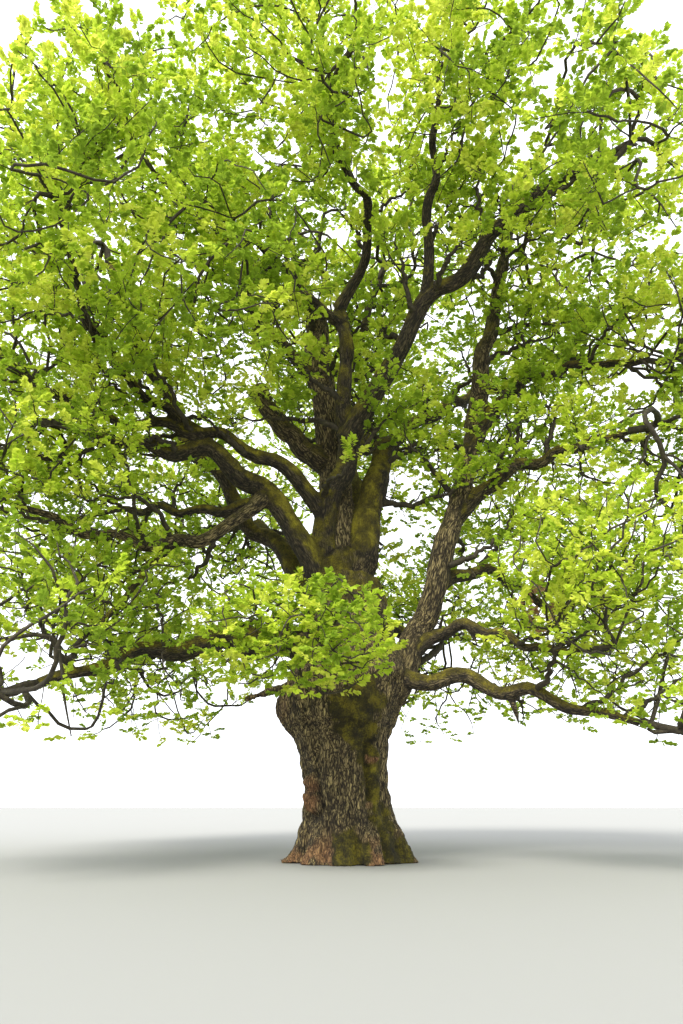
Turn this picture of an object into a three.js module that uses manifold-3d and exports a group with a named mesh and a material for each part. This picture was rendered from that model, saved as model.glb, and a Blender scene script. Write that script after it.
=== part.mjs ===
// Veteran oak tree in spring leaf, standing on level ground.
// Lengths are millimetres and Z is up. The origin is in the middle of the trunk's flat foot.
// Bearings are degrees about Z, from +X towards +Y, so that -90 is the front of the tree.
import * as THREE from "three";
import Module from "manifold-3d";

const wasm = await Module();
wasm.setup();

// Gap between neighbouring solids
const CLEARANCE = 0.3;

// Crown: a dome that is widest at one height and fuller than an ellipsoid, whose power is 2,
// over an underside that rises towards the trunk
const CROWN_RADIUS = 15000;
const CROWN_WIDEST = 11500;
const CROWN_TOP = 28200;
const CROWN_DROP = 11000;
const CROWN_FULLNESS = 2.6;
const UNDERSIDE_AT_TRUNK = 5200;
const UNDERSIDE_AT_EDGE = 2800;
const UNDERSIDE_REACH = 8000;

// Trunk: height, middle across and half width of each section, from the foot to the fork
const TRUNK_SECTIONS = [
  [0, 40, 1640],
  [350, 50, 1540],
  [700, 30, 1450],
  [1100, 0, 1350],
  [1700, -20, 1320],
  [2300, -50, 1330],
  [3000, -100, 1400],
  [3600, -180, 1610],
  [4200, -240, 1900],
  [4800, -120, 2000],
  [5400, 40, 1950],
  [6000, 100, 1700],
  [6600, 60, 1350],
];
const TRUNK_SIDES = 20;
const TRUNK_DEPTH_SHARE = 0.94;

// Root flare: bearing, reach beyond the trunk and half angle of each buttress at the foot
const BUTTRESSES = [
  [-172, 420, 24],
  [-132, 260, 18],
  [-98, 170, 16],
  [-62, 240, 18],
  [-14, 440, 22],
  [32, 280, 20],
  [78, 380, 24],
  [128, 330, 22],
];
const FLARE_HEIGHT = 650;

// Limbs, each from a share of the way along its parent: bearing, reach and rise of its tip,
// how far it arches up and sways to its left at one third and two thirds of the way,
// and its radius at its base and its tip
const LIMBS = [
  ["middle_stem", "trunk", 0.6, 42, 200, 4600, [0, 100], [-100, -100], [1350, 1200]],
  ["right_stem", "trunk", 0.55, -4, 4800, 10400, [-2200, -1900], [-100, -100], [520, 310]],
  ["left_leader", "middle_stem", 0.7, 153, 2200, 13100, [1500, 3200], [-200, -300], [720, 270]],
  ["centre_stem", "middle_stem", 0.5, -97, 1600, 12000, [0, -300], [-400, 200], [500, 220]],
  ["crown_leader", "left_leader", 0.3, 28, 2100, 9900, [-500, 0], [1100, 900], [320, 150]],
  ["upper_right_bough", "centre_stem", 0.6, -34, 9700, 7300, [1500, 1200], [-100, -300], [360, 140]],
  ["right_high_bough", "right_stem", 1, -40, 2100, 7800, [100, 100], [-200, -100], [330, 170]],
  ["left_middle_bough", "middle_stem", 0.5, -162, 9000, 6400, [3000, 1900], [200, 100], [420, 180]],
  ["left_back_bough", "middle_stem", 0.6, 177, 9600, 15400, [-900, -1800], [-1500, -1400], [380, 170]],
  ["low_left_bough", "trunk", 0.85, -152, 9300, -1100, [1000, 800], [-300, -200], [480, 160]],
  ["right_low_bough", "trunk", 0.7, -30, 8800, -1100, [900, 600], [500, 300], [320, 130]],
  ["left_upper_bough", "centre_stem", 0.36, -158, 8900, 2800, [1300, 600], [-100, -300], [280, 140]],
  ["front_left_bough", "left_upper_bough", 0.5, -119, 6300, 3400, [-100, -600], [-1000, -700], [190, 100]],
  ["back_middle_bough", "middle_stem", 0.9, 82, 7400, 11400, [700, 500], [100, 0], [400, 150]],
  ["back_left_bough", "middle_stem", 0.8, 125, 10900, 5800, [1100, 1000], [100, -100], [380, 150]],
  ["back_low_bough", "trunk", 0.9, 66, 10600, 3000, [600, 400], [500, 400], [440, 160]],
  ["back_side_bough", "trunk", 0.85, 136, 10500, 1900, [900, 600], [300, 300], [400, 150]],
  ["mossy_stem", "middle_stem", 0.6, 17, 1600, 7300, [400, 300], [-300, -100], [620, 340]],
  ["back_right_bough", "mossy_stem", 0.96, 41, 9000, 5700, [700, 900], [-100, -100], [280, 130]],
  ["right_mid_bough", "right_stem", 0.96, -33, 6000, 1500, [1500, 1000], [100, 0], [250, 120]],
  ["right_arm_bough", "right_stem", 0.8, -28, 5900, 1900, [1000, 600], [700, 400], [270, 140]],
  ["right_droop_front", "right_stem", 0.43, -40, 6000, -300, [1000, 300], [400, 0], [230, 90]],
  ["right_droop_back", "right_stem", 0.64, 31, 7200, -200, [900, 300], [-300, -200], [240, 100]],
  ["centre_right_bough", "centre_stem", 1, -92, 4600, 4100, [1000, 300], [1200, 600], [200, 100]],
  ["centre_left_bough", "centre_stem", 0.96, -129, 4700, 500, [500, 700], [-500, -400], [190, 100]],
  ["left_high_bough", "left_leader", 0.5, -145, 7300, 6200, [0, 300], [-400, -200], [240, 110]],
  ["upper_mid_bough", "upper_right_bough", 0.36, -85, 3200, 5600, [700, 500], [0, 0], [200, 100]],
  ["grey_bough", "left_middle_bough", 0.3, -154, 7700, -1800, [-1500, -1100], [-100, -200], [240, 100]],
  ["level_bough", "left_middle_bough", 0.28, 163, 7000, 200, [-400, -100], [400, 300], [220, 100]],
  ["descending_bough", "grey_bough", 0.36, -135, 2700, -3400, [100, 0], [-300, 100], [150, 80]],
  ["front_bough", "trunk", 0.88, -108, 3400, 500, [300, 300], [-200, -100], [170, 80]],
  ["broken_stub", "left_leader", 0.34, -165, 3000, 2900, [-400, -400], [0, 0], [400, 340]],
];
const CROOK_SHARE = 0.02;
const CROOK_WAVES = [2.3, 4.1];
const COLLAR_SWELL = 0.3;
const COLLAR_LENGTH = 2.2;
const LIMB_STEPS = 6;
const STOUT_RADIUS = 500;
const STOUT_SIDES = 8;
const MIDDLING_SIDES = 6;
const SLIM_RADIUS = 300;
const SLIM_SIDES = 5;

// Masses of foliage, each on the tip of its bough: bearing, distance from the trunk's axis
// and height of its middle, and the half width and half height of its space
const MASSES = [
  ["left_leader", 148, 3100, 23500, 4600, 4200],
  ["crown_leader", 52, 3700, 24700, 5000, 4400],
  ["upper_right_bough", -42, 11400, 20400, 5400, 4700],
  ["right_high_bough", 5, 8300, 21500, 5000, 4600],
  ["left_middle_bough", -172, 11000, 12000, 4500, 3600],
  ["left_back_bough", 176, 10200, 19000, 5000, 4600],
  ["low_left_bough", -149, 10800, 5400, 4700, 3400],
  ["right_low_bough", -30, 10500, 5300, 4700, 3400],
  ["left_upper_bough", -160, 12000, 14800, 4600, 3600],
  ["front_left_bough", -135, 12200, 17400, 5000, 4400],
  ["back_middle_bough", 86, 8800, 20500, 5800, 5200],
  ["back_left_bough", 122, 12000, 14000, 5600, 4800],
  ["back_low_bough", 72, 12300, 8500, 5600, 4600],
  ["back_side_bough", 137, 11800, 7500, 5400, 4400],
  ["back_right_bough", 42, 12000, 15800, 5600, 4800],
  ["right_mid_bough", -18, 11800, 15600, 4600, 3800],
  ["right_arm_bough", -16, 11600, 10800, 4400, 3400],
  ["right_droop_front", -38, 8800, 7200, 3400, 2600],
  ["right_droop_back", 22, 11000, 8000, 5000, 4200],
  ["centre_right_bough", -98, 8200, 22700, 4700, 4200],
  ["centre_left_bough", -128, 7200, 16300, 4300, 3900],
  ["left_high_bough", -150, 8600, 22400, 4900, 4300],
  ["upper_mid_bough", -66, 8400, 23300, 4900, 4200],
  ["grey_bough", -152, 12300, 9800, 4400, 3200],
  ["level_bough", 166, 11000, 10300, 4600, 3800],
  ["descending_bough", -159, 7800, 7400, 3000, 2400],
  ["front_bough", -106, 4900, 5700, 2900, 1700],
];
const FULL_SPREAD = 4500;
const SPACE_MARGIN = 130;
const CANDIDATES = 700;
const TWIG_SPACING = 3100;
const STEM_LENGTH = 900;
const STEM_SHARE = 0.85;
const BACKWARD_COST = 0.8;
const TWIG_RADIUS = 42;
const TWIG_FOOT_SHARE = 0.45;
const TWIG_SIDES = 3;

// Sprays of leaves on the twigs, each a thin kite that stands for many leaves
const SPRAY_STEP = 1100;
const SPRAY_LENGTH = 2500;
const SPRAY_WIDTH_SHARE = 0.32;
const SPRAY_THICKNESS_SHARE = 0.035;
const SPRAY_FULLEST = 0.4;
const SPRAY_FORWARD = 0.55;
const SPRAY_OUTWARD = 0.45;
const SPRAY_ROLL = 2.4;
const SPRAY_END_GAP = 0.08;
const SPRAY_ROOM = 700;
const SPRAY_TRIES = [1, 0.8, 0.6];
const SPRAY_SAMPLES = 5;
const GOLDEN_ANGLE = 2.4;

// Distances kept and looked at when a twig or spray is fitted between the limbs
const SAMPLE_STEP = 150;
const LIMB_DISTANCE = 220;
const TRUNK_REACH = 2300;
const FIRST_MASS_SEED = 101;

const UP = new THREE.Vector3(0, 0, 1);
const NEARLY_UPRIGHT = 0.9;
const MODULUS = 2147483647;
const MULTIPLIER = 16807;

const barkMaterial = new THREE.MeshStandardMaterial({ color: 0x6b6253, roughness: 0.95, metalness: 0 });
const leafMaterial = new THREE.MeshStandardMaterial({ color: 0x8fa832, roughness: 0.7, metalness: 0 });

// Number helpers
function lerp(a, b, share) {
  return a + (b - a) * share;
}

function radians(degrees) {
  return (degrees * Math.PI) / 180;
}

// A repeatable stream of numbers from 0 to 1
function seededRandom(seed) {
  let state = seed;
  return () => {
    state = (state * MULTIPLIER) % MODULUS;
    return state / MODULUS;
  };
}

function level(bearing, distance) {
  const turn = radians(bearing);
  return new THREE.Vector3(distance * Math.cos(turn), distance * Math.sin(turn), 0);
}

// Any direction square to the given one
function squareTo(direction) {
  const helper = Math.abs(direction.z) < NEARLY_UPRIGHT ? UP : new THREE.Vector3(1, 0, 0);
  return new THREE.Vector3().crossVectors(helper, direction).normalize();
}

// Closed solid over rings of the same number of points. Each end is closed by a fan round
// a middle point, or by one triangle where the rings are a twig's
function loft(rings) {
  const sides = rings[0].length;
  const positions = [];
  const index = [];
  for (const ring of rings) {
    for (const point of ring) positions.push(point.x, point.y, point.z);
  }
  for (let r = 0; r + 1 < rings.length; r += 1) {
    for (let s = 0; s < sides; s += 1) {
      const a = r * sides + s;
      const b = r * sides + ((s + 1) % sides);
      index.push(a, b, b + sides, a, b + sides, a + sides);
    }
  }
  const last = (rings.length - 1) * sides;
  if (sides === TWIG_SIDES) {
    index.push(0, 2, 1, last, last + 1, last + 2);
  } else {
    for (const [ring, first, back] of [[rings[0], 0, true], [rings.at(-1), last, false]]) {
      const middle = ring.reduce((sum, point) => sum.add(point), new THREE.Vector3()).divideScalar(sides);
      const hub = positions.length / 3;
      positions.push(middle.x, middle.y, middle.z);
      for (let s = 0; s < sides; s += 1) {
        const edge = [first + s, first + ((s + 1) % sides)];
        index.push(hub, ...(back ? edge.reverse() : edge));
      }
    }
  }
  const geometry = new THREE.BufferGeometry();
  geometry.setAttribute("position", new THREE.Float32BufferAttribute(positions, 3));
  geometry.setIndex(index);
  return geometry;
}

// Tube along a row of points, its rings turned no more than the row bends
function tube(points, radii, sides) {
  let across = null;
  const rings = points.map((point, i) => {
    const before = points[Math.max(i - 1, 0)];
    const after = points[Math.min(i + 1, points.length - 1)];
    const along = new THREE.Vector3().subVectors(after, before).normalize();
    const carried = across === null ? squareTo(along) : across;
    across = carried.clone().addScaledVector(along, -carried.dot(along)).normalize();
    const beside = new THREE.Vector3().crossVectors(along, across);
    return Array.from({ length: sides }, (_, s) => {
      const turn = (2 * Math.PI * s) / sides;
      return point
        .clone()
        .addScaledVector(across, radii[i] * Math.cos(turn))
        .addScaledVector(beside, radii[i] * Math.sin(turn));
    });
  });
  return loft(rings);
}

// Manifold solids, for joining and cutting
function toSolid(geometry) {
  const vertProperties = new Float32Array(geometry.getAttribute("position").array);
  const triVerts = new Uint32Array(geometry.getIndex().array);
  return new wasm.Manifold(new wasm.Mesh({ numProp: 3, vertProperties, triVerts }));
}

function toGeometry(solid) {
  const mesh = solid.getMesh();
  const geometry = new THREE.BufferGeometry();
  geometry.setAttribute("position", new THREE.BufferAttribute(mesh.vertProperties, 3));
  geometry.setIndex(new THREE.BufferAttribute(mesh.triVerts, 1));
  return geometry;
}

// The largest body of a solid: loose scraps are dropped and sealed hollows filled
function largestBody(solid) {
  const bodies = solid.decompose();
  return bodies.reduce((best, body) => (body.volume() > best.volume() ? body : best));
}

// Trunk section at a height, pushed outwards by a margin
function trunkRing([height, middle, halfWidth], margin) {
  return Array.from({ length: TRUNK_SIDES }, (_, s) => {
    const bearing = (360 * s) / TRUNK_SIDES;
    let radius = halfWidth + margin;
    for (const [rootBearing, reach, halfAngle] of BUTTRESSES) {
      const off = THREE.MathUtils.euclideanModulo(bearing - rootBearing + 180, 360) - 180;
      radius += reach * Math.exp(-((off / halfAngle) ** 2) - height / FLARE_HEIGHT);
    }
    const point = level(bearing, radius);
    return new THREE.Vector3(middle + point.x, point.y * TRUNK_DEPTH_SHARE, height);
  });
}

function trunkGeometry(margin) {
  const rings = TRUNK_SECTIONS.map((section) => trunkRing(section, margin));
  const top = rings.at(-1);
  for (const point of top) point.z += margin;
  return loft(rings);
}

// Middle of the trunk at a share of its height
function trunkMiddle(share) {
  const height = share * TRUNK_SECTIONS.at(-1)[0];
  const above = TRUNK_SECTIONS.findIndex((section) => section[0] >= height);
  if (above <= 0) return new THREE.Vector3(TRUNK_SECTIONS[0][1], 0, 0);
  const [low, high] = [TRUNK_SECTIONS[above - 1], TRUNK_SECTIONS[above]];
  const part = (height - low[0]) / (high[0] - low[0]);
  return new THREE.Vector3(lerp(low[1], high[1], part), 0, height);
}

// Limb centreline: a cubic through its start, both arched thirds and its tip, with a slight crook
class LimbCurve extends THREE.Curve {
  constructor(start, bearing, reach, rise, arch, sway, seed) {
    super();
    const tip = start.clone().add(level(bearing, reach)).addScaledVector(UP, rise);
    const left = level(bearing + 90, 1);
    const thirds = [1, 2].map((k) =>
      start
        .clone()
        .lerp(tip, k / 3)
        .addScaledVector(UP, arch[k - 1])
        .addScaledVector(left, sway[k - 1]),
    );
    this.through = [start, thirds[0], thirds[1], tip];
    this.left = left;
    this.crook = CROOK_SHARE * start.distanceTo(tip);
    const random = seededRandom(seed);
    this.phases = [random() * 2 * Math.PI, random() * 2 * Math.PI];
  }

  getPoint(share) {
    const [a, b, c, d] = this.through;
    const t = share * 3;
    const point = new THREE.Vector3()
      .addScaledVector(a, -((t - 1) * (t - 2) * (t - 3)) / 6)
      .addScaledVector(b, (t * (t - 2) * (t - 3)) / 2)
      .addScaledVector(c, -(t * (t - 1) * (t - 3)) / 2)
      .addScaledVector(d, (t * (t - 1) * (t - 2)) / 6);
    const swell = this.crook * Math.sin(Math.PI * share);
    const waves = CROOK_WAVES.map((wave, k) => Math.sin(2 * Math.PI * wave * share + this.phases[k]));
    return point.addScaledVector(this.left, swell * waves[0]).addScaledVector(UP, swell * waves[1]);
  }
}

function limbSides(radius) {
  if (radius >= STOUT_RADIUS) return STOUT_SIDES;
  return radius < SLIM_RADIUS ? SLIM_SIDES : MIDDLING_SIDES;
}

function limbRadius(limb, share) {
  const collar = COLLAR_SWELL * Math.exp((-share * limb.length) / (COLLAR_LENGTH * limb.radii[0]));
  return lerp(limb.radii[0], limb.radii[1], share) * (1 + collar);
}

function limbGeometry(limb, margin) {
  const points = limb.points.map((point) => point.clone());
  const swell = margin / Math.cos(Math.PI / limb.sides);
  const radii = points.map((_, i) => limbRadius(limb, i / LIMB_STEPS) + swell);
  const back = new THREE.Vector3().subVectors(points[0], points[1]).normalize();
  points[0].addScaledVector(back, margin);
  points.at(-1).addScaledVector(limb.ahead, margin);
  return tube(points, radii, limb.sides);
}

// All limbs by name, each grown from its parent
function growLimbs() {
  const limbs = new Map();
  LIMBS.forEach(([name, parent, share, bearing, reach, rise, arch, sway, radii], i) => {
    const start = parent === "trunk" ? trunkMiddle(share) : limbs.get(parent).curve.getPoint(share);
    const curve = new LimbCurve(start, bearing, reach, rise, arch, sway, i + 1);
    const limb = { name, curve, radii, sides: limbSides(radii[0]), length: curve.getLength() };
    limb.points = curve.getPoints(LIMB_STEPS);
    limb.tip = limb.points.at(-1);
    limb.ahead = new THREE.Vector3().subVectors(limb.tip, limb.points.at(-2)).normalize();
    limb.stretches = limb.points.slice(1).map((point, k) => ({
      line: new THREE.Line3(limb.points[k], point),
      radius: limbRadius(limb, k / LIMB_STEPS),
    }));
    limbs.set(name, limb);
  });
  return limbs;
}

// Cut a solid clear of the grown copies of its neighbours
function cutClear(solid, neighbours) {
  const box = solid.boundingBox();
  let rest = solid;
  for (const neighbour of neighbours) {
    const other = neighbour.boundingBox();
    const apart = [0, 1, 2].some((k) => box.min[k] > other.max[k] || box.max[k] < other.min[k]);
    if (!apart) rest = rest.subtract(neighbour);
  }
  return largestBody(rest);
}

// Space of each mass: an ellipsoid in the crown, up to halfway to the middles of its neighbours
function massSpaces(limbs) {
  const spaces = MASSES.map(([bough, bearing, out, height, halfWidth, halfHeight]) => ({
    bough: limbs.get(bough),
    middle: level(bearing, out).addScaledVector(UP, height),
    halfWidth,
    halfHeight,
  }));
  for (const space of spaces) space.others = spaces.filter((other) => other !== space);
  return spaces;
}

function insideCrown(point, room) {
  const out = Math.hypot(point.x, point.y);
  const above = point.z - CROWN_WIDEST;
  const extent = above > 0 ? CROWN_TOP - CROWN_WIDEST : CROWN_DROP;
  const underside = lerp(UNDERSIDE_AT_TRUNK, UNDERSIDE_AT_EDGE, Math.min(out / UNDERSIDE_REACH, 1));
  const across = out / (CROWN_RADIUS - room);
  const up = Math.abs(above) / (extent - room);
  return across ** CROWN_FULLNESS + up ** CROWN_FULLNESS < 1 && point.z > underside + room;
}

// Whether a point lies in a mass's space with some room to spare
function insideSpace(space, point, room) {
  const off = point.clone().sub(space.middle);
  const across = Math.hypot(off.x, off.y) / (space.halfWidth - room);
  const size = Math.hypot(across, off.z / (space.halfHeight - room));
  if (size > 1 || !insideCrown(point, room)) return false;
  return space.others.every((other) => {
    const apart = new THREE.Vector3().subVectors(other.middle, space.middle);
    const half = apart.length() / 2;
    return off.dot(apart.normalize()) < half - SPACE_MARGIN - room;
  });
}

// Distance from a point to the surface of the nearest wood, below zero inside it
function woodDistance(point, limbs) {
  const top = TRUNK_SECTIONS.at(-1)[0];
  const middle = trunkMiddle(THREE.MathUtils.clamp(point.z / top, 0, 1));
  let least = point.distanceTo(middle) - TRUNK_REACH;
  const nearest = new THREE.Vector3();
  for (const limb of limbs.values()) {
    for (const { line, radius } of limb.stretches) {
      line.closestPointToPoint(point, true, nearest);
      least = Math.min(least, nearest.distanceTo(point) - radius);
    }
  }
  return least;
}

function isFree(space, limbs, points, distance) {
  return points.every((point) => insideSpace(space, point, 0) && woodDistance(point, limbs) > distance);
}

function between(from, to, count) {
  return Array.from({ length: count + 1 }, (_, i) => from.clone().lerp(to, i / count));
}

// Well spread places in a mass's space, each at least the spacing from the others
function spreadTargets(space, spacing, room, random) {
  const targets = [];
  for (let i = 0; i < CANDIDATES; i += 1) {
    const off = new THREE.Vector3(random() * 2 - 1, random() * 2 - 1, random() * 2 - 1);
    off.multiply(new THREE.Vector3(space.halfWidth, space.halfWidth, space.halfHeight));
    const place = off.add(space.middle);
    const roomy = targets.every((other) => other.distanceTo(place) > spacing);
    if (roomy && insideSpace(space, place, room)) targets.push(place);
  }
  return targets;
}

// Joints of a mass's twigs: a stem from the bough's tip, then each target, nearest first,
// joined to the joint that costs least, where turning back costs more than going on
function growJoints(space, limbs, size, random) {
  const tip = space.bough.tip;
  const ahead = space.bough.ahead;
  const foot = tip.clone().addScaledVector(ahead, CLEARANCE);
  const fork = tip.clone().addScaledVector(ahead, STEM_LENGTH * size);
  const joints = [
    { point: foot, parent: -1, along: ahead, load: 1 },
    { point: fork, parent: 0, along: ahead, load: 1 },
  ];
  const targets = spreadTargets(space, TWIG_SPACING * size, SPRAY_ROOM * size, random);
  targets.sort((a, b) => a.distanceTo(fork) - b.distanceTo(fork));
  for (const target of targets) {
    let parent = 1;
    let least = Infinity;
    for (let i = 1; i < joints.length; i += 1) {
      const reach = new THREE.Vector3().subVectors(target, joints[i].point);
      const turn = 1 - reach.dot(joints[i].along) / reach.length();
      const cost = reach.length() * (1 + BACKWARD_COST * turn);
      if (cost < least) {
        least = cost;
        parent = i;
      }
    }
    const start = joints[parent].point;
    const samples = Math.ceil(start.distanceTo(target) / SAMPLE_STEP);
    if (!isFree(space, limbs, between(start, target, samples).slice(1), LIMB_DISTANCE * size)) continue;
    const along = new THREE.Vector3().subVectors(target, start).normalize();
    joints.push({ point: target, parent, along, load: 1 });
  }
  for (let i = joints.length - 1; i > 0; i -= 1) joints[joints[i].parent].load += joints[i].load;
  return joints;
}

// Runs of joints: each goes on through the heaviest joint ahead, and the rest start runs of their own
function growRuns(joints) {
  const ahead = joints.map(() => []);
  for (let i = 1; i < joints.length; i += 1) ahead[joints[i].parent].push(i);
  for (const list of ahead) list.sort((a, b) => joints[b].load - joints[a].load);
  const runs = [[0]];
  for (const run of runs) {
    while (ahead[run.at(-1)].length > 0) {
      const [next, ...others] = ahead[run.at(-1)];
      for (const other of others) runs.push([run.at(-1), other]);
      run.push(next);
    }
  }
  return runs.filter((run) => run.length > 1);
}

function twigRadius(joint, size) {
  return TWIG_RADIUS * size * Math.sqrt(joint.load);
}

// Twig along a run of joints. Its foot is thin enough to sink into the twig that carries it
function twigGeometry(run, joints, size, stemRadius) {
  const radii = run.map((i) => twigRadius(joints[i], size));
  const footRadius = twigRadius(joints[run[0]], size) * TWIG_FOOT_SHARE;
  radii[0] = run[0] === 0 ? stemRadius : Math.min(radii[1], footRadius);
  return tube(run.map((i) => joints[i].point), radii, TWIG_SIDES);
}

// Spray of leaves as one thin kite: root, tip, two sides, and a ridge over and under
function sprayCorners(root, along, across, length) {
  const over = new THREE.Vector3().crossVectors(along, across);
  const fullest = root.clone().addScaledVector(along, length * SPRAY_FULLEST);
  const halfWidth = length * SPRAY_WIDTH_SHARE;
  const halfThickness = length * SPRAY_THICKNESS_SHARE;
  return {
    root,
    tip: root.clone().addScaledVector(along, length),
    left: fullest.clone().addScaledVector(across, -halfWidth),
    right: fullest.clone().addScaledVector(across, halfWidth),
    over: fullest.clone().addScaledVector(over, halfThickness),
    under: fullest.clone().addScaledVector(over, -halfThickness),
  };
}

function sprayGeometry({ root, tip, left, right, over, under }) {
  const positions = [root, tip, left, right, over, under].flatMap((corner) => corner.toArray());
  const geometry = new THREE.BufferGeometry();
  geometry.setAttribute("position", new THREE.Float32BufferAttribute(positions, 3));
  geometry.setIndex([3, 0, 4, 1, 3, 4, 2, 1, 4, 0, 2, 4, 0, 3, 5, 3, 1, 5, 1, 2, 5, 2, 0, 5]);
  return geometry;
}

// The longest spray that fits in one direction from a place on a twig, or nothing
function fitSpray(space, limbs, place, along, across, size) {
  for (const share of SPRAY_TRIES) {
    const corners = sprayCorners(place, along, across, SPRAY_LENGTH * size * share);
    const samples = [
      ...between(corners.root, corners.tip, SPRAY_SAMPLES),
      ...between(corners.root, corners.left, SPRAY_SAMPLES),
      ...between(corners.root, corners.right, SPRAY_SAMPLES),
      ...between(corners.left, corners.tip, SPRAY_SAMPLES),
      ...between(corners.right, corners.tip, SPRAY_SAMPLES),
    ];
    if (isFree(space, limbs, samples, LIMB_DISTANCE * size)) return sprayGeometry(corners);
  }
  return null;
}

// Sprays along a stretch of twig, turned a golden angle from one to the next,
// leaning forwards and out of the crown
function growSprays(space, limbs, from, to, size, random) {
  const stretch = new THREE.Vector3().subVectors(to, from);
  const count = Math.max(1, Math.round(stretch.length() / (SPRAY_STEP * size)));
  const forwards = stretch.clone().normalize();
  const firstTurn = random() * 2 * Math.PI;
  const sprays = [];
  for (let k = 0; k < count; k += 1) {
    const place = from.clone().addScaledVector(stretch, (k + 1) / (count + SPRAY_END_GAP));
    const aside = squareTo(forwards).applyAxisAngle(forwards, firstTurn + k * GOLDEN_ANGLE);
    const outward = place.clone().sub(new THREE.Vector3(0, 0, CROWN_WIDEST)).normalize();
    const along = aside.addScaledVector(forwards, SPRAY_FORWARD);
    along.addScaledVector(outward, SPRAY_OUTWARD).normalize();
    const across = squareTo(along).applyAxisAngle(along, SPRAY_ROLL * (random() - 0.5));
    const spray = fitSpray(space, limbs, place, along, across, size);
    if (spray !== null) sprays.push(spray);
  }
  return sprays;
}

// One mass of foliage: its stem, twigs and sprays fused into one body
function massSolid(space, limbs, seed) {
  const random = seededRandom(seed);
  const size = Math.min(space.halfWidth / FULL_SPREAD, 1);
  const joints = growJoints(space, limbs, size, random);
  const runs = growRuns(joints);
  const stemRadius = space.bough.radii[1] * STEM_SHARE;
  const twigs = runs.map((run) => toSolid(twigGeometry(run, joints, size, stemRadius)));
  let solid = twigs.reduce((whole, twig) => whole.add(twig));
  for (const joint of joints.slice(2)) {
    const sprays = growSprays(space, limbs, joints[joint.parent].point, joint.point, size, random);
    for (const spray of sprays) solid = solid.add(toSolid(spray));
  }
  return largestBody(solid);
}

const tree = new THREE.Group();

function addPiece(name, solid, material) {
  const piece = new THREE.Mesh(toGeometry(solid), material);
  piece.name = name;
  tree.add(piece);
}

const limbs = growLimbs();
const placed = [toSolid(trunkGeometry(CLEARANCE))];
addPiece("trunk", toSolid(trunkGeometry(0)), barkMaterial);
for (const limb of limbs.values()) {
  addPiece(limb.name, cutClear(toSolid(limbGeometry(limb, 0)), placed), barkMaterial);
  placed.push(toSolid(limbGeometry(limb, CLEARANCE)));
}
massSpaces(limbs).forEach((space, i) => {
  const name = `${space.bough.name.replace("_bough", "")}_foliage`;
  addPiece(name, massSolid(space, limbs, FIRST_MASS_SEED + i), leafMaterial);
});

export default tree;
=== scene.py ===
"""Veteran oak tree in spring leaf: bark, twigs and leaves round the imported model. Lengths are metres."""
import itertools
import math

import bpy
import numpy as np
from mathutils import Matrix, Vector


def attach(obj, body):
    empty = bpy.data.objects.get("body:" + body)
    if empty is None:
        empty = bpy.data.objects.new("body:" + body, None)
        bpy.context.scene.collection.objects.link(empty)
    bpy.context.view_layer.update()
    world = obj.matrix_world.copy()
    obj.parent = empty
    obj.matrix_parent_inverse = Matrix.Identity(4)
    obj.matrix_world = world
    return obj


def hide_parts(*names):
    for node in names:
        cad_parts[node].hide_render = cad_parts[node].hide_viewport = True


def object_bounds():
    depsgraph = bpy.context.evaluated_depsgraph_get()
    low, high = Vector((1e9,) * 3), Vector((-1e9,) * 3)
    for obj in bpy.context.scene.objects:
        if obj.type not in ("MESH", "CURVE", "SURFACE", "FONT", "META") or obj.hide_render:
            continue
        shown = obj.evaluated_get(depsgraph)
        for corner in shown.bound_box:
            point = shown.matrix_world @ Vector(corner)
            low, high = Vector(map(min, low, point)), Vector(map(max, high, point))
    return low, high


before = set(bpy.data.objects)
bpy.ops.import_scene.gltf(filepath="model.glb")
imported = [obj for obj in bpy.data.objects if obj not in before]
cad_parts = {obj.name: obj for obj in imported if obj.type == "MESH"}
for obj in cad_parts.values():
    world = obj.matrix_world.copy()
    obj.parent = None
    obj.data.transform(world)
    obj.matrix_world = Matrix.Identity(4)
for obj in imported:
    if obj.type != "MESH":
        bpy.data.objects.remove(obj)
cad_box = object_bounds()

# Crown: a dome that is widest at one height and fuller than an ellipsoid, whose power is 2,
# over an underside that rises towards the trunk
CROWN_RADIUS = 15.0
CROWN_WIDEST = 11.5
CROWN_TOP = 28.2
CROWN_DROP = 11.0
CROWN_FULLNESS = 2.6
UNDERSIDE_AT_TRUNK = 5.2
UNDERSIDE_AT_EDGE = 2.8
UNDERSIDE_REACH = 8.0

# Trunk: height, middle across and half width of each section, from the foot to the fork
TRUNK_SECTIONS = np.array([
    (0.00, 0.04, 1.64),
    (0.35, 0.05, 1.54),
    (0.70, 0.03, 1.45),
    (1.10, 0.00, 1.35),
    (1.70, -0.02, 1.32),
    (2.30, -0.05, 1.33),
    (3.00, -0.10, 1.40),
    (3.60, -0.18, 1.61),
    (4.20, -0.24, 1.90),
    (4.80, -0.12, 2.00),
    (5.40, 0.04, 1.95),
    (6.00, 0.10, 1.70),
    (6.60, 0.06, 1.35),
])
TRUNK_TOP = TRUNK_SECTIONS[-1, 0]
TRUNK_DEPTH_SHARE = 0.94

# Root flare: bearing, reach beyond the trunk and half angle of each buttress at the foot
BUTTRESSES = [
    (-172, 0.42, 24),
    (-132, 0.26, 18),
    (-98, 0.17, 16),
    (-62, 0.24, 18),
    (-14, 0.44, 22),
    (32, 0.28, 20),
    (78, 0.38, 24),
    (128, 0.33, 22),
]
FLARE_HEIGHT = 0.65

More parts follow.
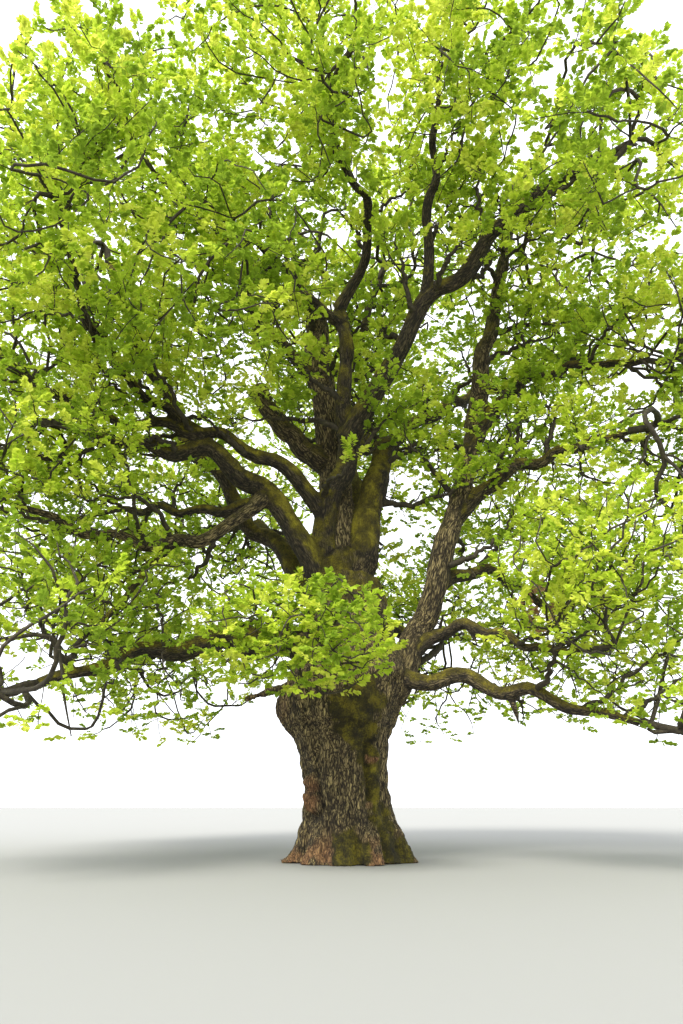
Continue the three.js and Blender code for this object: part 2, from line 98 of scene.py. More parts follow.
# Limbs, each from a share of the way along its parent: bearing, reach and rise of its tip,
# how far it arches up and sways to its left at one third and two thirds of the way,
# and its radius at its base and its tip
LIMBS = [
    ("middle_stem", "trunk", 0.6, 42, 0.2, 4.6, (0, 0.1), (-0.1, -0.1), (1.35, 1.2)),
    ("right_stem", "trunk", 0.55, -4, 4.8, 10.4, (-2.2, -1.9), (-0.1, -0.1), (0.52, 0.31)),
    ("left_leader", "middle_stem", 0.7, 153, 2.2, 13.1, (1.5, 3.2), (-0.2, -0.3), (0.72, 0.27)),
    ("centre_stem", "middle_stem", 0.5, -97, 1.6, 12, (0, -0.3), (-0.4, 0.2), (0.5, 0.22)),
    ("crown_leader", "left_leader", 0.3, 28, 2.1, 9.9, (-0.5, 0), (1.1, 0.9), (0.32, 0.15)),
    ("upper_right_bough", "centre_stem", 0.6, -34, 9.7, 7.3, (1.5, 1.2), (-0.1, -0.3), (0.36, 0.14)),
    ("right_high_bough", "right_stem", 1, -40, 2.1, 7.8, (0.1, 0.1), (-0.2, -0.1), (0.33, 0.17)),
    ("left_middle_bough", "middle_stem", 0.5, -162, 9, 6.4, (3, 1.9), (0.2, 0.1), (0.42, 0.18)),
    ("left_back_bough", "middle_stem", 0.6, 177, 9.6, 15.4, (-0.9, -1.8), (-1.5, -1.4), (0.38, 0.17)),
    ("low_left_bough", "trunk", 0.85, -152, 9.3, -1.1, (1, 0.8), (-0.3, -0.2), (0.48, 0.16)),
    ("right_low_bough", "trunk", 0.7, -30, 8.8, -1.1, (0.9, 0.6), (0.5, 0.3), (0.32, 0.13)),
    ("left_upper_bough", "centre_stem", 0.36, -158, 8.9, 2.8, (1.3, 0.6), (-0.1, -0.3), (0.28, 0.14)),
    ("front_left_bough", "left_upper_bough", 0.5, -119, 6.3, 3.4, (-0.1, -0.6), (-1, -0.7), (0.19, 0.1)),
    ("back_middle_bough", "middle_stem", 0.9, 82, 7.4, 11.4, (0.7, 0.5), (0.1, 0), (0.4, 0.15)),
    ("back_left_bough", "middle_stem", 0.8, 125, 10.9, 5.8, (1.1, 1), (0.1, -0.1), (0.38, 0.15)),
    ("back_low_bough", "trunk", 0.9, 66, 10.6, 3, (0.6, 0.4), (0.5, 0.4), (0.44, 0.16)),
    ("back_side_bough", "trunk", 0.85, 136, 10.5, 1.9, (0.9, 0.6), (0.3, 0.3), (0.4, 0.15)),
    ("mossy_stem", "middle_stem", 0.6, 17, 1.6, 7.3, (0.4, 0.3), (-0.3, -0.1), (0.62, 0.34)),
    ("back_right_bough", "mossy_stem", 0.96, 41, 9, 5.7, (0.7, 0.9), (-0.1, -0.1), (0.28, 0.13)),
    ("right_mid_bough", "right_stem", 0.96, -33, 6, 1.5, (1.5, 1), (0.1, 0), (0.25, 0.12)),
    ("right_arm_bough", "right_stem", 0.8, -28, 5.9, 1.9, (1, 0.6), (0.7, 0.4), (0.27, 0.14)),
    ("right_droop_front", "right_stem", 0.43, -40, 6, -0.3, (1, 0.3), (0.4, 0), (0.23, 0.09)),
    ("right_droop_back", "right_stem", 0.64, 31, 7.2, -0.2, (0.9, 0.3), (-0.3, -0.2), (0.24, 0.1)),
    ("centre_right_bough", "centre_stem", 1, -92, 4.6, 4.1, (1, 0.3), (1.2, 0.6), (0.2, 0.1)),
    ("centre_left_bough", "centre_stem", 0.96, -129, 4.7, 0.5, (0.5, 0.7), (-0.5, -0.4), (0.19, 0.1)),
    ("left_high_bough", "left_leader", 0.5, -145, 7.3, 6.2, (0, 0.3), (-0.4, -0.2), (0.24, 0.11)),
    ("upper_mid_bough", "upper_right_bough", 0.36, -85, 3.2, 5.6, (0.7, 0.5), (0, 0), (0.2, 0.1)),
    ("grey_bough", "left_middle_bough", 0.3, -154, 7.7, -1.8, (-1.5, -1.1), (-0.1, -0.2), (0.24, 0.1)),
    ("level_bough", "left_middle_bough", 0.28, 163, 7, 0.2, (-0.4, -0.1), (0.4, 0.3), (0.22, 0.1)),
    ("descending_bough", "grey_bough", 0.36, -135, 2.7, -3.4, (0.1, 0), (-0.3, 0.1), (0.15, 0.08)),
    ("front_bough", "trunk", 0.88, -108, 3.4, 0.5, (0.3, 0.3), (-0.2, -0.1), (0.17, 0.08)),
    ("broken_stub", "left_leader", 0.34, -165, 3, 2.9, (-0.4, -0.4), (0, 0), (0.4, 0.34)),
]
CROOK_SHARE = 0.02
CROOK_WAVES = (2.3, 4.1)
COLLAR_SWELL = 0.3
COLLAR_LENGTH = 2.2
LENGTH_STEPS = 200
LIMB_STEPS = 6
FINE_LIMB_STEPS = 24

# Masses of foliage, each on the tip of its bough: bearing, distance from the trunk's axis
# and height of its middle, and the half width and half height of its space
MASSES = [
    ("left_leader", 148, 3.1, 23.5, 4.6, 4.2),
    ("crown_leader", 52, 3.7, 24.7, 5.0, 4.4),
    ("upper_right_bough", -42, 11.4, 20.4, 5.4, 4.7),
    ("right_high_bough", 5, 8.3, 21.5, 5.0, 4.6),
    ("left_middle_bough", -172, 11.0, 12.0, 4.5, 3.6),
    ("left_back_bough", 176, 10.2, 19.0, 5.0, 4.6),
    ("low_left_bough", -149, 10.8, 5.4, 4.7, 3.4),
    ("right_low_bough", -30, 10.5, 5.3, 4.7, 3.4),
    ("left_upper_bough", -160, 12.0, 14.8, 4.6, 3.6),
    ("front_left_bough", -135, 12.2, 17.4, 5.0, 4.4),
    ("back_middle_bough", 86, 8.8, 20.5, 5.8, 5.2),
    ("back_left_bough", 122, 12.0, 14.0, 5.6, 4.8),
    ("back_low_bough", 72, 12.3, 8.5, 5.6, 4.6),
    ("back_side_bough", 137, 11.8, 7.5, 5.4, 4.4),
    ("back_right_bough", 42, 12.0, 15.8, 5.6, 4.8),
    ("right_mid_bough", -18, 11.8, 15.6, 4.6, 3.8),
    ("right_arm_bough", -16, 11.6, 10.8, 4.4, 3.4),
    ("right_droop_front", -38, 8.8, 7.2, 3.4, 2.6),
    ("right_droop_back", 22, 11.0, 8.0, 5.0, 4.2),
    ("centre_right_bough", -98, 8.2, 22.7, 4.7, 4.2),
    ("centre_left_bough", -128, 7.2, 16.3, 4.3, 3.9),
    ("left_high_bough", -150, 8.6, 22.4, 4.9, 4.3),
    ("upper_mid_bough", -66, 8.4, 23.3, 4.9, 4.2),
    ("grey_bough", -152, 12.3, 9.8, 4.4, 3.2),
    ("level_bough", 166, 11.0, 10.3, 4.6, 3.8),
    ("descending_bough", -159, 7.8, 7.4, 3.0, 2.4),
    ("front_bough", -106, 4.9, 5.7, 2.9, 1.7),
]
FULL_SPREAD = 4.5
SPACE_MARGIN = 0.13
CANDIDATES = 700
TWIG_SPACING = 3.1
SPRAY_ROOM = 0.7
CLEARANCE = 0.0003
STEM_LENGTH = 0.9
STEM_SHARE = 0.85
BACKWARD_COST = 0.8
SAMPLE_STEP = 0.15
LIMB_DISTANCE = 0.22
TRUNK_REACH = 2.3
FIRST_MASS_SEED = 101

# Finer twigs between the main ones, as the same rule gives them at a closer spacing
FINE_CANDIDATES = 3600
FINE_SPACING = 1.0
FINE_ROOM = 0.3
FINE_DISTANCE = 0.12
LEAF_DISTANCE = 0.4
BOX_MARGIN = 0.12
FINE_TWIG_RADIUS = 0.015
TWIG_TAPER = 0.4
TWIG_FOOT_SHARE = 0.6
TWIG_STEPS = 3
TWIG_CROOK = 0.045

# Sides of a branch or twig by the radius of its foot
SIDES_BY_RADIUS = ((0.06, 6), (0.028, 4), (0.0, 3))

# Twiglets on the twigs, each with a spray of leaves
TWIGLET_STEP = 0.22
TWIGLET_LENGTH = (0.32, 0.72)
TWIGLET_RADIUS = 0.006
THICKEST_WITH_TWIGLETS = 0.04
TWIGLET_FORWARD = 0.55
TWIGLET_OUTWARD = 0.3
TWIGLET_LEVEL = 0.55
TWIGLET_LIFT = 0.5
GOLDEN_ANGLE = 2.4
END_TWIGLETS = 2
END_TWIGLET_SPREAD = 0.45
FIRST_TWIGLET = (0.3, 1)
LOW_SHARE = 0.5
LOW_HEIGHTS = (6.0, 14.0)
LOW_REACH = (6.0, 8.5)

# Side growth, first on the limbs and then on that: where along its carrier it starts, how far
# apart, how long, how thick at its foot as a share of the carrier, the range of that, and points
SIDE_GROWTH = (
    (0.2, 1.2, (2.2, 5.0), 0.5, (0.045, 0.13), 10),
    (0.22, 0.55, (0.7, 1.9), 0.5, (0.014, 0.035), 5),
)
SIDE_TIP = 0.012
SIDE_FORWARD = 0.55
SIDE_OUTWARD = 0.35
SIDE_LIFT = 0.25
SIDE_BEND = 0.2
SIDE_TRIES = 4
BARE_PART = 4
OPEN_REACH = 5.2
OPEN_HEIGHT = 13.5
LEAFY_HEIGHTS = {"right_stem": 8.0, "mossy_stem": 9.5, "centre_stem": 12.0}
GROWTH_IN_OPEN = 0.2
BARE_LIMBS = ("middle_stem", "broken_stub")

# Leaves of a spray: from where on the twiglet they grow, crowded towards its end, how far they lean
# to either side at its start and end, and where one is widest, as shares of its length
LEAF_LENGTH = (0.14, 0.225)
LEAVES_IN_SPRAY = 15
FIRST_LEAF = 0.3
LEAF_CROWDING = 0.65
LEAF_LEANS = (70, 6)
LEAF_HALF_WIDTH = 0.35
LEAF_WIDEST = 0.6
LEAF_FOLD = 0.24
LEAF_DROOP = 0.14
# Leaf tones: copies of one green from shaded to lit, partly the leaves' own tone at random and partly painted
# light and shade in clumps through the crown, with the share and size of those clumps
LEAF_TONES = 5
LIGHT_CLUMP_SHARE = 0.62
LIGHT_CLUMP_SIZE = 1.6
SPRAY_TILT = 0.5
LEAF_LEAN_SPREAD = 14
LEAF_DIP = (-0.1, 0.4)
LEAF_UPWARD = 0.8
LEAF_OUTWARD = 0.2
LEAF_ROCK = 0.4

# Clumps of last year's brown leaves
DRY_PLACES = [(2.3, -2.0, 7.7), (3.2, -2.0, 7.7), (3.5, -2.0, 8.0), (4.4, -2.5, 7.1), (5.5, -3.0, 6.8)]
DRY_REACH = 0.9

UP = np.array([0.0, 0.0, 1.0])
EAST = np.array([1.0, 0.0, 0.0])
STEEPEST = 0.9
NEARLY_UPRIGHT = 0.05
MODULUS = 2147483647
MULTIPLIER = 16807
LATTICE_FACTORS = (73856093, 19349663, 83492791)
LATTICE_MIXES = ((13, 1274126177), (15, 2246822519))
LATTICE_VALUES = 0xFFFF
LEAF_SEED = 7
TWIG_SIDES = 3


def seeded_random(seed):
    """A repeatable stream of numbers from 0 to 1."""
    state = seed
    while True:
        state = (state * MULTIPLIER) % MODULUS
        yield state / MODULUS


def level(bearing, distance):
    turn = math.radians(bearing)
    return distance * np.array([math.cos(turn), math.sin(turn), 0.0])


def unit(vectors):
    return vectors / np.linalg.norm(vectors, axis=-1, keepdims=True)


def square_to(directions):
    helper = np.where(np.abs(directions[..., 2:]) < STEEPEST, UP, EAST)
    return unit(np.cross(helper, directions))


def frames_along(directions):
    """Two directions square to each of a row, turning no more than the row does."""
    across = square_to(directions[0])
    rows = []
    for ahead in directions:
        across = unit(across - ahead * (across @ ahead))
        rows.append((across, np.cross(ahead, across)))
    return np.array(rows)


def turned(vectors, axes, angles):
    """Vectors turned about unit axes by angles in radians."""
    cos = np.cos(angles)[..., None]
    sin = np.sin(angles)[..., None]
    along = (vectors * axes).sum(-1, keepdims=True)
    return vectors * cos + np.cross(axes, vectors) * sin + axes * along * (1 - cos)


def curve_through(points, steps):
    ends = np.vstack([2 * points[0] - points[1], points, 2 * points[-1] - points[-2]])
    t = (np.arange(steps) / steps)[:, None]
    rows = []
    for a, b, c, d in zip(ends, ends[1:], ends[2:], ends[3:]):
        rows.append(b + 0.5 * t * (c - a + t * (2 * a - 5 * b + 4 * c - d + t * (3 * (b - c) + d - a))))
    return np.vstack([*rows, points[-1:]])


def travelled_along(curve):
    """How far along a curve each of its points is."""
    return np.concatenate([[0], np.cumsum(np.linalg.norm(np.diff(curve, axis=0), axis=1))])


def places_along(curve, travelled, places):
    """Points on a curve, and its directions there."""
    rows = np.hstack([curve, np.gradient(curve, axis=0)])
    rows = np.stack([np.interp(places, travelled, row) for row in rows.T], -1)
    return rows[:, :3], unit(rows[:, 3:])


def bearing_gap(bearings, bearing):
    """Degrees from one bearing to others, the short way round."""
    return (bearings - bearing + 180) % 360 - 180


BOLE_SECTIONS = curve_through(TRUNK_SECTIONS, 6)


# Repeatable smooth noise, for relief and for patches
def lattice(cells):
    x, y, z = (cells * LATTICE_FACTORS).T
    mixed = x ^ y ^ z
    for shift, factor in LATTICE_MIXES:
        mixed = ((mixed ^ (mixed >> shift)) * factor) & MODULUS
    return (mixed & LATTICE_VALUES) / LATTICE_VALUES


def smooth_noise(points):
    cells = np.floor(points).astype(np.int64)
    part = points - cells
    part = part * part * (3 - 2 * part)
    total = np.zeros(len(points))
    for corner in itertools.product((0, 1), repeat=3):
        weight = np.prod(np.where(np.array(corner) == 1, part, 1 - part), axis=1)
        total += weight * lattice(cells + np.array(corner))
    return total


def smooth_step(low, high, values):
    share = np.clip((values - low) / (high - low), 0, 1)
    return share * share * (3 - 2 * share)


# Trunk and limbs
def trunk_middle(heights):
    heights = np.clip(heights, 0, TRUNK_TOP)
    across = np.interp(heights, TRUNK_SECTIONS[:, 0], TRUNK_SECTIONS[:, 1])
    return np.stack([across, np.zeros_like(across), heights], axis=-1)


def bole_middle(heights):
    return np.interp(heights, BOLE_SECTIONS[:, 0], BOLE_SECTIONS[:, 1])


def trunk_radius(bearings, heights):
    radius = np.interp(heights, BOLE_SECTIONS[:, 0], BOLE_SECTIONS[:, 2])
    for bearing, reach, half_angle in BUTTRESSES:
        off = bearing_gap(bearings, bearing)
        radius = radius + reach * np.exp(-((off / half_angle) ** 2) - heights / FLARE_HEIGHT)
    return radius


class Limb:
    """A tapering limb along a cubic with a slight crook."""

    def __init__(self, name, start, bearing, reach, rise, arch, sway, radii, seed):
        tip = start + level(bearing, reach) + UP * rise
        self.name = name
        self.radii = radii
        self.left = level(bearing + 90, 1)
        thirds = [
            start + (tip - start) * (k + 1) / 3 + UP * arch[k] + self.left * sway[k] for k in range(2)
        ]
        self.through = [start, *thirds, tip]
        self.crook = CROOK_SHARE * np.linalg.norm(tip - start)
        random = seeded_random(seed)
        self.phases = [next(random) * 2 * math.pi for _ in CROOK_WAVES]
        self.length = travelled_along(self.points(np.linspace(0, 1, LENGTH_STEPS + 1)))[-1]
        coarse = self.points(np.linspace(0, 1, LIMB_STEPS + 1))
        self.tip = coarse[-1]
        self.ahead = unit(coarse[-1] - coarse[-2])

    def points(self, shares):
        t = np.asarray(shares, float)[..., None] * 3
        a, b, c, d = self.through
        point = -a * (t - 1) * (t - 2) * (t - 3) / 6 + b * t * (t - 2) * (t - 3) / 2
        point = point - c * t * (t - 1) * (t - 3) / 2 + d * t * (t - 1) * (t - 2) / 6
        share = t / 3
        swell = self.crook * np.sin(math.pi * share)
        turns = [2 * math.pi * wave * share + phase for wave, phase in zip(CROOK_WAVES, self.phases)]
        return point + self.left * swell * np.sin(turns[0]) + UP * swell * np.sin(turns[1])

    def radius(self, shares):
        shares = np.asarray(shares, float)
        collar = COLLAR_SWELL * np.exp(-shares * self.length / (COLLAR_LENGTH * self.radii[0]))
        return (self.radii[0] + (self.radii[1] - self.radii[0]) * shares) * (1 + collar)


def grow_limbs():
    limbs = {}
    for seed, (name, parent, share, *shape) in enumerate(LIMBS, 1):
        start = trunk_middle(share * TRUNK_TOP) if parent == "trunk" else limbs[parent].points(share)
        limbs[name] = Limb(name, start, *shape, seed)
    return limbs


def gaps_to(points, starts, reaches):
    """How far along each straight stretch every point is, and its gap to that."""
    off = points[:, None] - starts
    along = np.clip((off * reaches).sum(2) / (reaches**2).sum(1), 0, 1)
    return along, np.linalg.norm(off - along[..., None] * reaches, axis=2)


class Stretches:
    """Straight stretches along all limbs, for distances to the wood."""

    def __init__(self, limbs, steps):
        shares = np.linspace(0, 1, steps + 1)
        points = np.array([limb.points(shares) for limb in limbs.values()])
        self.start = points[:, :-1].reshape(-1, 3)
        self.reach = points[:, 1:].reshape(-1, 3) - self.start
        self.radius = np.array([limb.radius(shares[:-1]) for limb in limbs.values()]).ravel()

    def distance(self, points):
        """Distance from each point to the nearest wood, below zero inside it."""
        least = np.linalg.norm(points - trunk_middle(points[:, 2]), axis=1) - TRUNK_REACH
        gaps = gaps_to(points, self.start, self.reach)[1] - self.radius
        return np.minimum(least, gaps.min(axis=1))


# Spaces of the masses
class Space:
    """An ellipsoid in the crown, up to halfway to the middles of its neighbours."""

    def __init__(self, bough, bearing, out, height, half_width, half_height):
        self.bough = bough
        self.middle = level(bearing, out) + UP * height
        self.half_width = half_width
        self.half_height = half_height
        self.size = min(half_width / FULL_SPREAD, 1)

    def meet(self, spaces):
        apart = np.array([other.middle - self.middle for other in spaces if other is not self])
        self.halves = np.linalg.norm(apart, axis=1) / 2
        self.towards = unit(apart)

    def holds(self, points, room):
        off = points - self.middle
        across = np.hypot(off[:, 0], off[:, 1]) / (self.half_width - room)
        inside = np.hypot(across, off[:, 2] / (self.half_height - room)) <= 1
        inside &= inside_crown(points, room)
        return inside & (off @ self.towards.T < self.halves - SPACE_MARGIN - room).all(axis=1)


def inside_crown(points, room):
    out = np.hypot(points[:, 0], points[:, 1])
    above = points[:, 2] - CROWN_WIDEST
    extent = np.where(above > 0, CROWN_TOP - CROWN_WIDEST, CROWN_DROP)
    share = np.minimum(out / UNDERSIDE_REACH, 1)
    underside = UNDERSIDE_AT_TRUNK + (UNDERSIDE_AT_EDGE - UNDERSIDE_AT_TRUNK) * share
    across = out / (CROWN_RADIUS - room)
    up = np.abs(above) / (extent - room)
    return (across**CROWN_FULLNESS + up**CROWN_FULLNESS < 1) & (points[:, 2] > underside + room)


# Twigs
def is_free(space, stretches, points, distance):
    return space.holds(points, 0).all() and (stretches.distance(points) > distance).all()


def spread_targets(space, spacing, room, candidates, random, taken=()):
    """Well spread places in a mass's space, each at least the spacing from the others."""
    draws = np.array([next(random) for _ in range(candidates * 3)]).reshape(-1, 3)
    places = (draws * 2 - 1) * [space.half_width, space.half_width, space.half_height] + space.middle
    places = places[space.holds(places, room)]
    chosen = np.full((len(taken) + len(places), 3), np.inf)
    chosen[: len(taken)] = np.reshape(taken, (-1, 3))
    count = len(taken)
    for place in places:
        if count == 0 or (np.linalg.norm(chosen[:count] - place, axis=1) > spacing).all():
            chosen[count] = place
            count += 1
    return chosen[len(taken):count]


class Twigs:
    """Joints of a mass's twigs, each joined to the joint that costs least to reach."""

    def __init__(self, space):
        tip, ahead = space.bough.tip, space.bough.ahead
        self.space = space
        self.points = [tip + ahead * CLEARANCE, tip + ahead * STEM_LENGTH * space.size]
        self.parents = [-1, 0]
        self.along = [ahead, ahead]

    def reach_for(self, targets, stretches, distance):
        fork = self.points[1]
        order = np.argsort(np.linalg.norm(targets - fork, axis=1), kind="stable")
        for target in targets[order]:
            reach = target - np.array(self.points[1:])
            length = np.linalg.norm(reach, axis=1)
            turn = 1 - (reach * np.array(self.along[1:])).sum(1) / length
            parent = 1 + int(np.argmin(length * (1 + BACKWARD_COST * turn)))
            start = self.points[parent]
            samples = math.ceil(np.linalg.norm(target - start) / SAMPLE_STEP)
            shares = np.arange(1, samples + 1)[:, None] / samples
            if is_free(self.space, stretches, start + (target - start) * shares, distance):
                self.points.append(target)
                self.parents.append(parent)
                self.along.append(unit(target - start))

    def loads(self):
        loads = [1] * len(self.points)
        for i in range(len(loads) - 1, 0, -1):
            loads[self.parents[i]] += loads[i]
        return loads

    def runs(self, loads):
        """Rows of joints, each going on through the heaviest one ahead."""
        ahead = [[] for _ in self.points]
        for i, parent in enumerate(self.parents[1:], 1):
            ahead[parent].append(i)
        runs = [[0]]
        for run in runs:
            while ahead[run[-1]]:
                best, *others = sorted(ahead[run[-1]], key=lambda i: -loads[i])
                runs.extend([run[-1], other] for other in others)
                run.append(best)
        return [run for run in runs if len(run) > 1]


class MeshData:
    def __init__(self):
        self.vertices = []
        self.triangles = []
        self.count = 0

    def add(self, vertices, triangles):
        self.vertices.append(vertices)
        self.triangles.append(triangles + self.count)
        self.count += len(vertices)

    def arrays(self):
        return np.vstack(self.vertices), np.vstack(self.triangles)


def tube(points, radii, sides):
    turns = 2 * math.pi * np.arange(sides) / sides
    frames = frames_along(unit(np.gradient(points, axis=0)))
    rings = []
    for point, radius, (across, beside) in zip(points, radii, frames):
        rings.append(point + radius * (np.outer(np.cos(turns), across) + np.outer(np.sin(turns), beside)))
    return rings_to_mesh(np.array(rings))


def rings_to_mesh(rings):
    count, sides = rings.shape[:2]
    a = np.arange((count - 1) * sides).reshape(-1, sides)
    b = np.roll(a, -1, axis=1)
    sheets = [np.stack([a, b, b + sides], -1), np.stack([a, b + sides, a + sides], -1)]
    triangles = np.concatenate([sheet.reshape(-1, 3) for sheet in sheets])
    last = (count - 1) * sides
    if sides == 3:
        caps = np.array([(0, 2, 1), (last, last + 1, last + 2)])
        return rings.reshape(-1, 3), np.vstack([triangles, caps])
    hubs = count * sides
    s = np.arange(sides)
    after = np.roll(s, -1)
    low = np.stack([np.full(sides, hubs), after, s], -1)
    high = np.stack([np.full(sides, hubs + 1), last + s, last + after], -1)
    vertices = np.vstack([rings.reshape(-1, 3), rings[0].mean(0), rings[-1].mean(0)])
    return vertices, np.vstack([triangles, low, high])


def grow_twigs(space, coarse, fine, seed):
    """Main joints of a mass by the source's rule, then the finer ones between them."""
    random = seeded_random(seed)
    size = space.size
    twigs = Twigs(space)
    targets = spread_targets(space, TWIG_SPACING * size, SPRAY_ROOM * size, CANDIDATES, random)
    twigs.reach_for(targets, coarse, LIMB_DISTANCE * size)
    finer = spread_targets(
        space, FINE_SPACING * size, FINE_ROOM * size, FINE_CANDIDATES, random, np.array(twigs.points[2:])
    )
    twigs.reach_for(finer, fine, FINE_DISTANCE)
    return twigs


class Foliage:
    """Branches and twigs, and the feet and heads of the twiglets."""

    def __init__(self, fine):
        self.fine = fine
        self.branches = MeshData()
        self.twigs = MeshData()
        self.feet = []
        self.heads = []

    def add_wood(self, points, radii, rng):
        """A branch or twig, crooked between the places that carry others."""
        curve = curve_through(points, TWIG_STEPS)
        crook = rng.normal(0, TWIG_CROOK, curve.shape)
        crook[::TWIG_STEPS] = 0
        curve = curve + crook
        thickness = np.interp(np.arange(len(curve)), np.arange(len(points)) * TWIG_STEPS, radii)
        sides = next(sides for radius, sides in SIDES_BY_RADIUS if thickness.max() > radius)
        mesh = self.twigs if sides == TWIG_SIDES else self.branches
        mesh.add(*tube(curve, thickness, sides))
        return curve, thickness

    def add_mass(self, space, coarse, seed):
        twigs = grow_twigs(space, coarse, self.fine, seed)
        loads = twigs.loads()
        stem_radius = space.bough.radii[1] * STEM_SHARE
        rng = np.random.default_rng(seed)
        sprays = []
        for run in twigs.runs(loads):
            points = np.array([twigs.points[i] for i in run])
            share = (np.array([loads[i] for i in run]) - 1) / loads[1]
            radii = FINE_TWIG_RADIUS + (stem_radius - FINE_TWIG_RADIUS) * share**TWIG_TAPER
            if run[0] != 0:
                radii[0] = min(radii[1], radii[0] * TWIG_FOOT_SHARE)
            sprays.append(self.twiglets(*self.add_wood(points, radii, rng), rng))
        feet, heads = (np.vstack(rows) for rows in zip(*sprays))
        self.keep(feet, heads, space.holds(heads, 0), rng)

    def keep(self, feet, heads, fits, rng):
        """Keep the twiglets that fit and are clear of wood, fewer of them low down."""
        lowest, highest = (np.array(corner) for corner in cad_box)
        fits &= ((heads > lowest - BOX_MARGIN) & (heads < highest + BOX_MARGIN)).all(axis=1)
        low = smooth_step(*LOW_REACH, np.hypot(heads[:, 0], heads[:, 1]))
        low = low * (1 - smooth_step(*LOW_HEIGHTS, heads[:, 2]))
        fits &= rng.random(len(heads)) > (1 - LOW_SHARE) * low
        fits &= self.fine.distance(heads) > LEAF_DISTANCE
        fits &= self.fine.distance((feet + heads) / 2) > FINE_DISTANCE
        self.feet.append(feet[fits])
        self.heads.append(heads[fits])

    def add_side_growth(self, curve, thickness, rng, open_height, order=0):
        """Branches along a limb and shoots along those, few of them low near the trunk."""
        start, step, lengths, foot_share, foot_range, count = SIDE_GROWTH[order]
        travelled = travelled_along(curve)
        total = travelled[-1]
        places = np.arange(start * total + rng.uniform(0, step), total, step)
        phase = rng.uniform(0, 2 * math.pi)
        carriers = np.interp(places, travelled, thickness)
        for k, (foot, ahead, carrier) in enumerate(zip(*places_along(curve, travelled, places), carriers)):
            hidden = rng.random() > GROWTH_IN_OPEN
            if hidden and math.hypot(foot[0], foot[1]) < OPEN_REACH and foot[2] < open_height:
                continue
            turn = phase + k * GOLDEN_ANGLE
            points = self.find_room(foot, ahead, turn, rng.uniform(*lengths), count, carrier, rng)
            if points is None:
                continue
            radius = np.clip(carrier * foot_share, *foot_range)
            side, side_radii = self.add_wood(points, np.linspace(radius, SIDE_TIP, count), rng)
            if order + 1 < len(SIDE_GROWTH):
                self.add_side_growth(side, side_radii, rng, open_height, order + 1)
            bare = len(side) // BARE_PART
            feet, heads = self.twiglets(side[bare:], side_radii[bare:], rng)
            self.keep(feet, heads, inside_crown(heads, 0), rng)

    def find_room(self, foot, ahead, turn, length, count, carrier, rng):
        """A crooked side branch in the crown and clear of other wood, or nothing."""
        for attempt in range(SIDE_TRIES):
            aside = turned(square_to(ahead), ahead, np.array(turn + attempt * GOLDEN_ANGLE))
            outward = unit(foot - UP * CROWN_WIDEST)
            along = unit(aside + ahead * SIDE_FORWARD + outward * SIDE_OUTWARD + UP * SIDE_LIFT)
            bends = rng.normal(0, SIDE_BEND, (count - 1, 3)).cumsum(axis=0)
            steps = unit(along + bends) * length / (count - 1)
            points = foot + np.vstack([np.zeros(3), steps]).cumsum(axis=0)
            away = np.linalg.norm(points - foot, axis=1) > carrier + FINE_DISTANCE * 2
            clear = (self.fine.distance(points[away]) > FINE_DISTANCE).all()
            if away.any() and clear and inside_crown(points, FINE_ROOM).all():
                return points
        return None

    @staticmethod
    def twiglets(curve, thickness, rng):
        """Feet and heads of the twiglets, a golden angle from one to the next."""
        travelled = travelled_along(curve)
        places = np.arange(rng.uniform(*FIRST_TWIGLET) * TWIGLET_STEP, travelled[-1], TWIGLET_STEP)
        places = np.concatenate([places, np.full(END_TWIGLETS, travelled[-1])])
        places = places[np.interp(places, travelled, thickness) < THICKEST_WITH_TWIGLETS]
        feet, forwards = places_along(curve, travelled, places)
        turns = rng.uniform(0, 2 * math.pi) + GOLDEN_ANGLE * np.arange(len(places))
        aside = turned(square_to(forwards), forwards, turns)
        outward = unit(feet - UP * CROWN_WIDEST)
        ends = (places >= travelled[-1])[:, None]
        along = aside * np.where(ends, END_TWIGLET_SPREAD, 1) + forwards * np.where(ends, 1, TWIGLET_FORWARD)
        along = unit(along + outward * TWIGLET_OUTWARD)
        along = unit(along * [1, 1, TWIGLET_LEVEL] + UP * TWIGLET_LIFT)
        lengths = rng.uniform(*TWIGLET_LENGTH, len(places))[:, None]
        return feet, feet + along * lengths


# Leaves and twiglets as arrays
def many_alike(corners, triangles):
    """Mesh of many small pieces, from the places of each corner and the triangles of one piece."""
    starts = len(corners) * np.arange(len(corners[0]))[:, None, None]
    return np.stack(corners, axis=1).reshape(-1, 3), (starts + triangles).reshape(-1, 3)


def leaf_mesh(bases, along, normals, lengths):
    """Leaves widest beyond the middle, folded along the midrib, with a drooping tip."""
    across = np.cross(along, normals)
    corners = []
    for x, y in ((0, 0), (LEAF_HALF_WIDTH, LEAF_WIDEST), (0, 1), (-LEAF_HALF_WIDTH, LEAF_WIDEST)):
        lift = LEAF_FOLD * abs(x) - LEAF_DROOP * y * y
        corners.append(bases + lengths[:, None] * (across * x + along * y + normals * lift))
    return many_alike(corners, [(0, 1, 2), (0, 2, 3)])


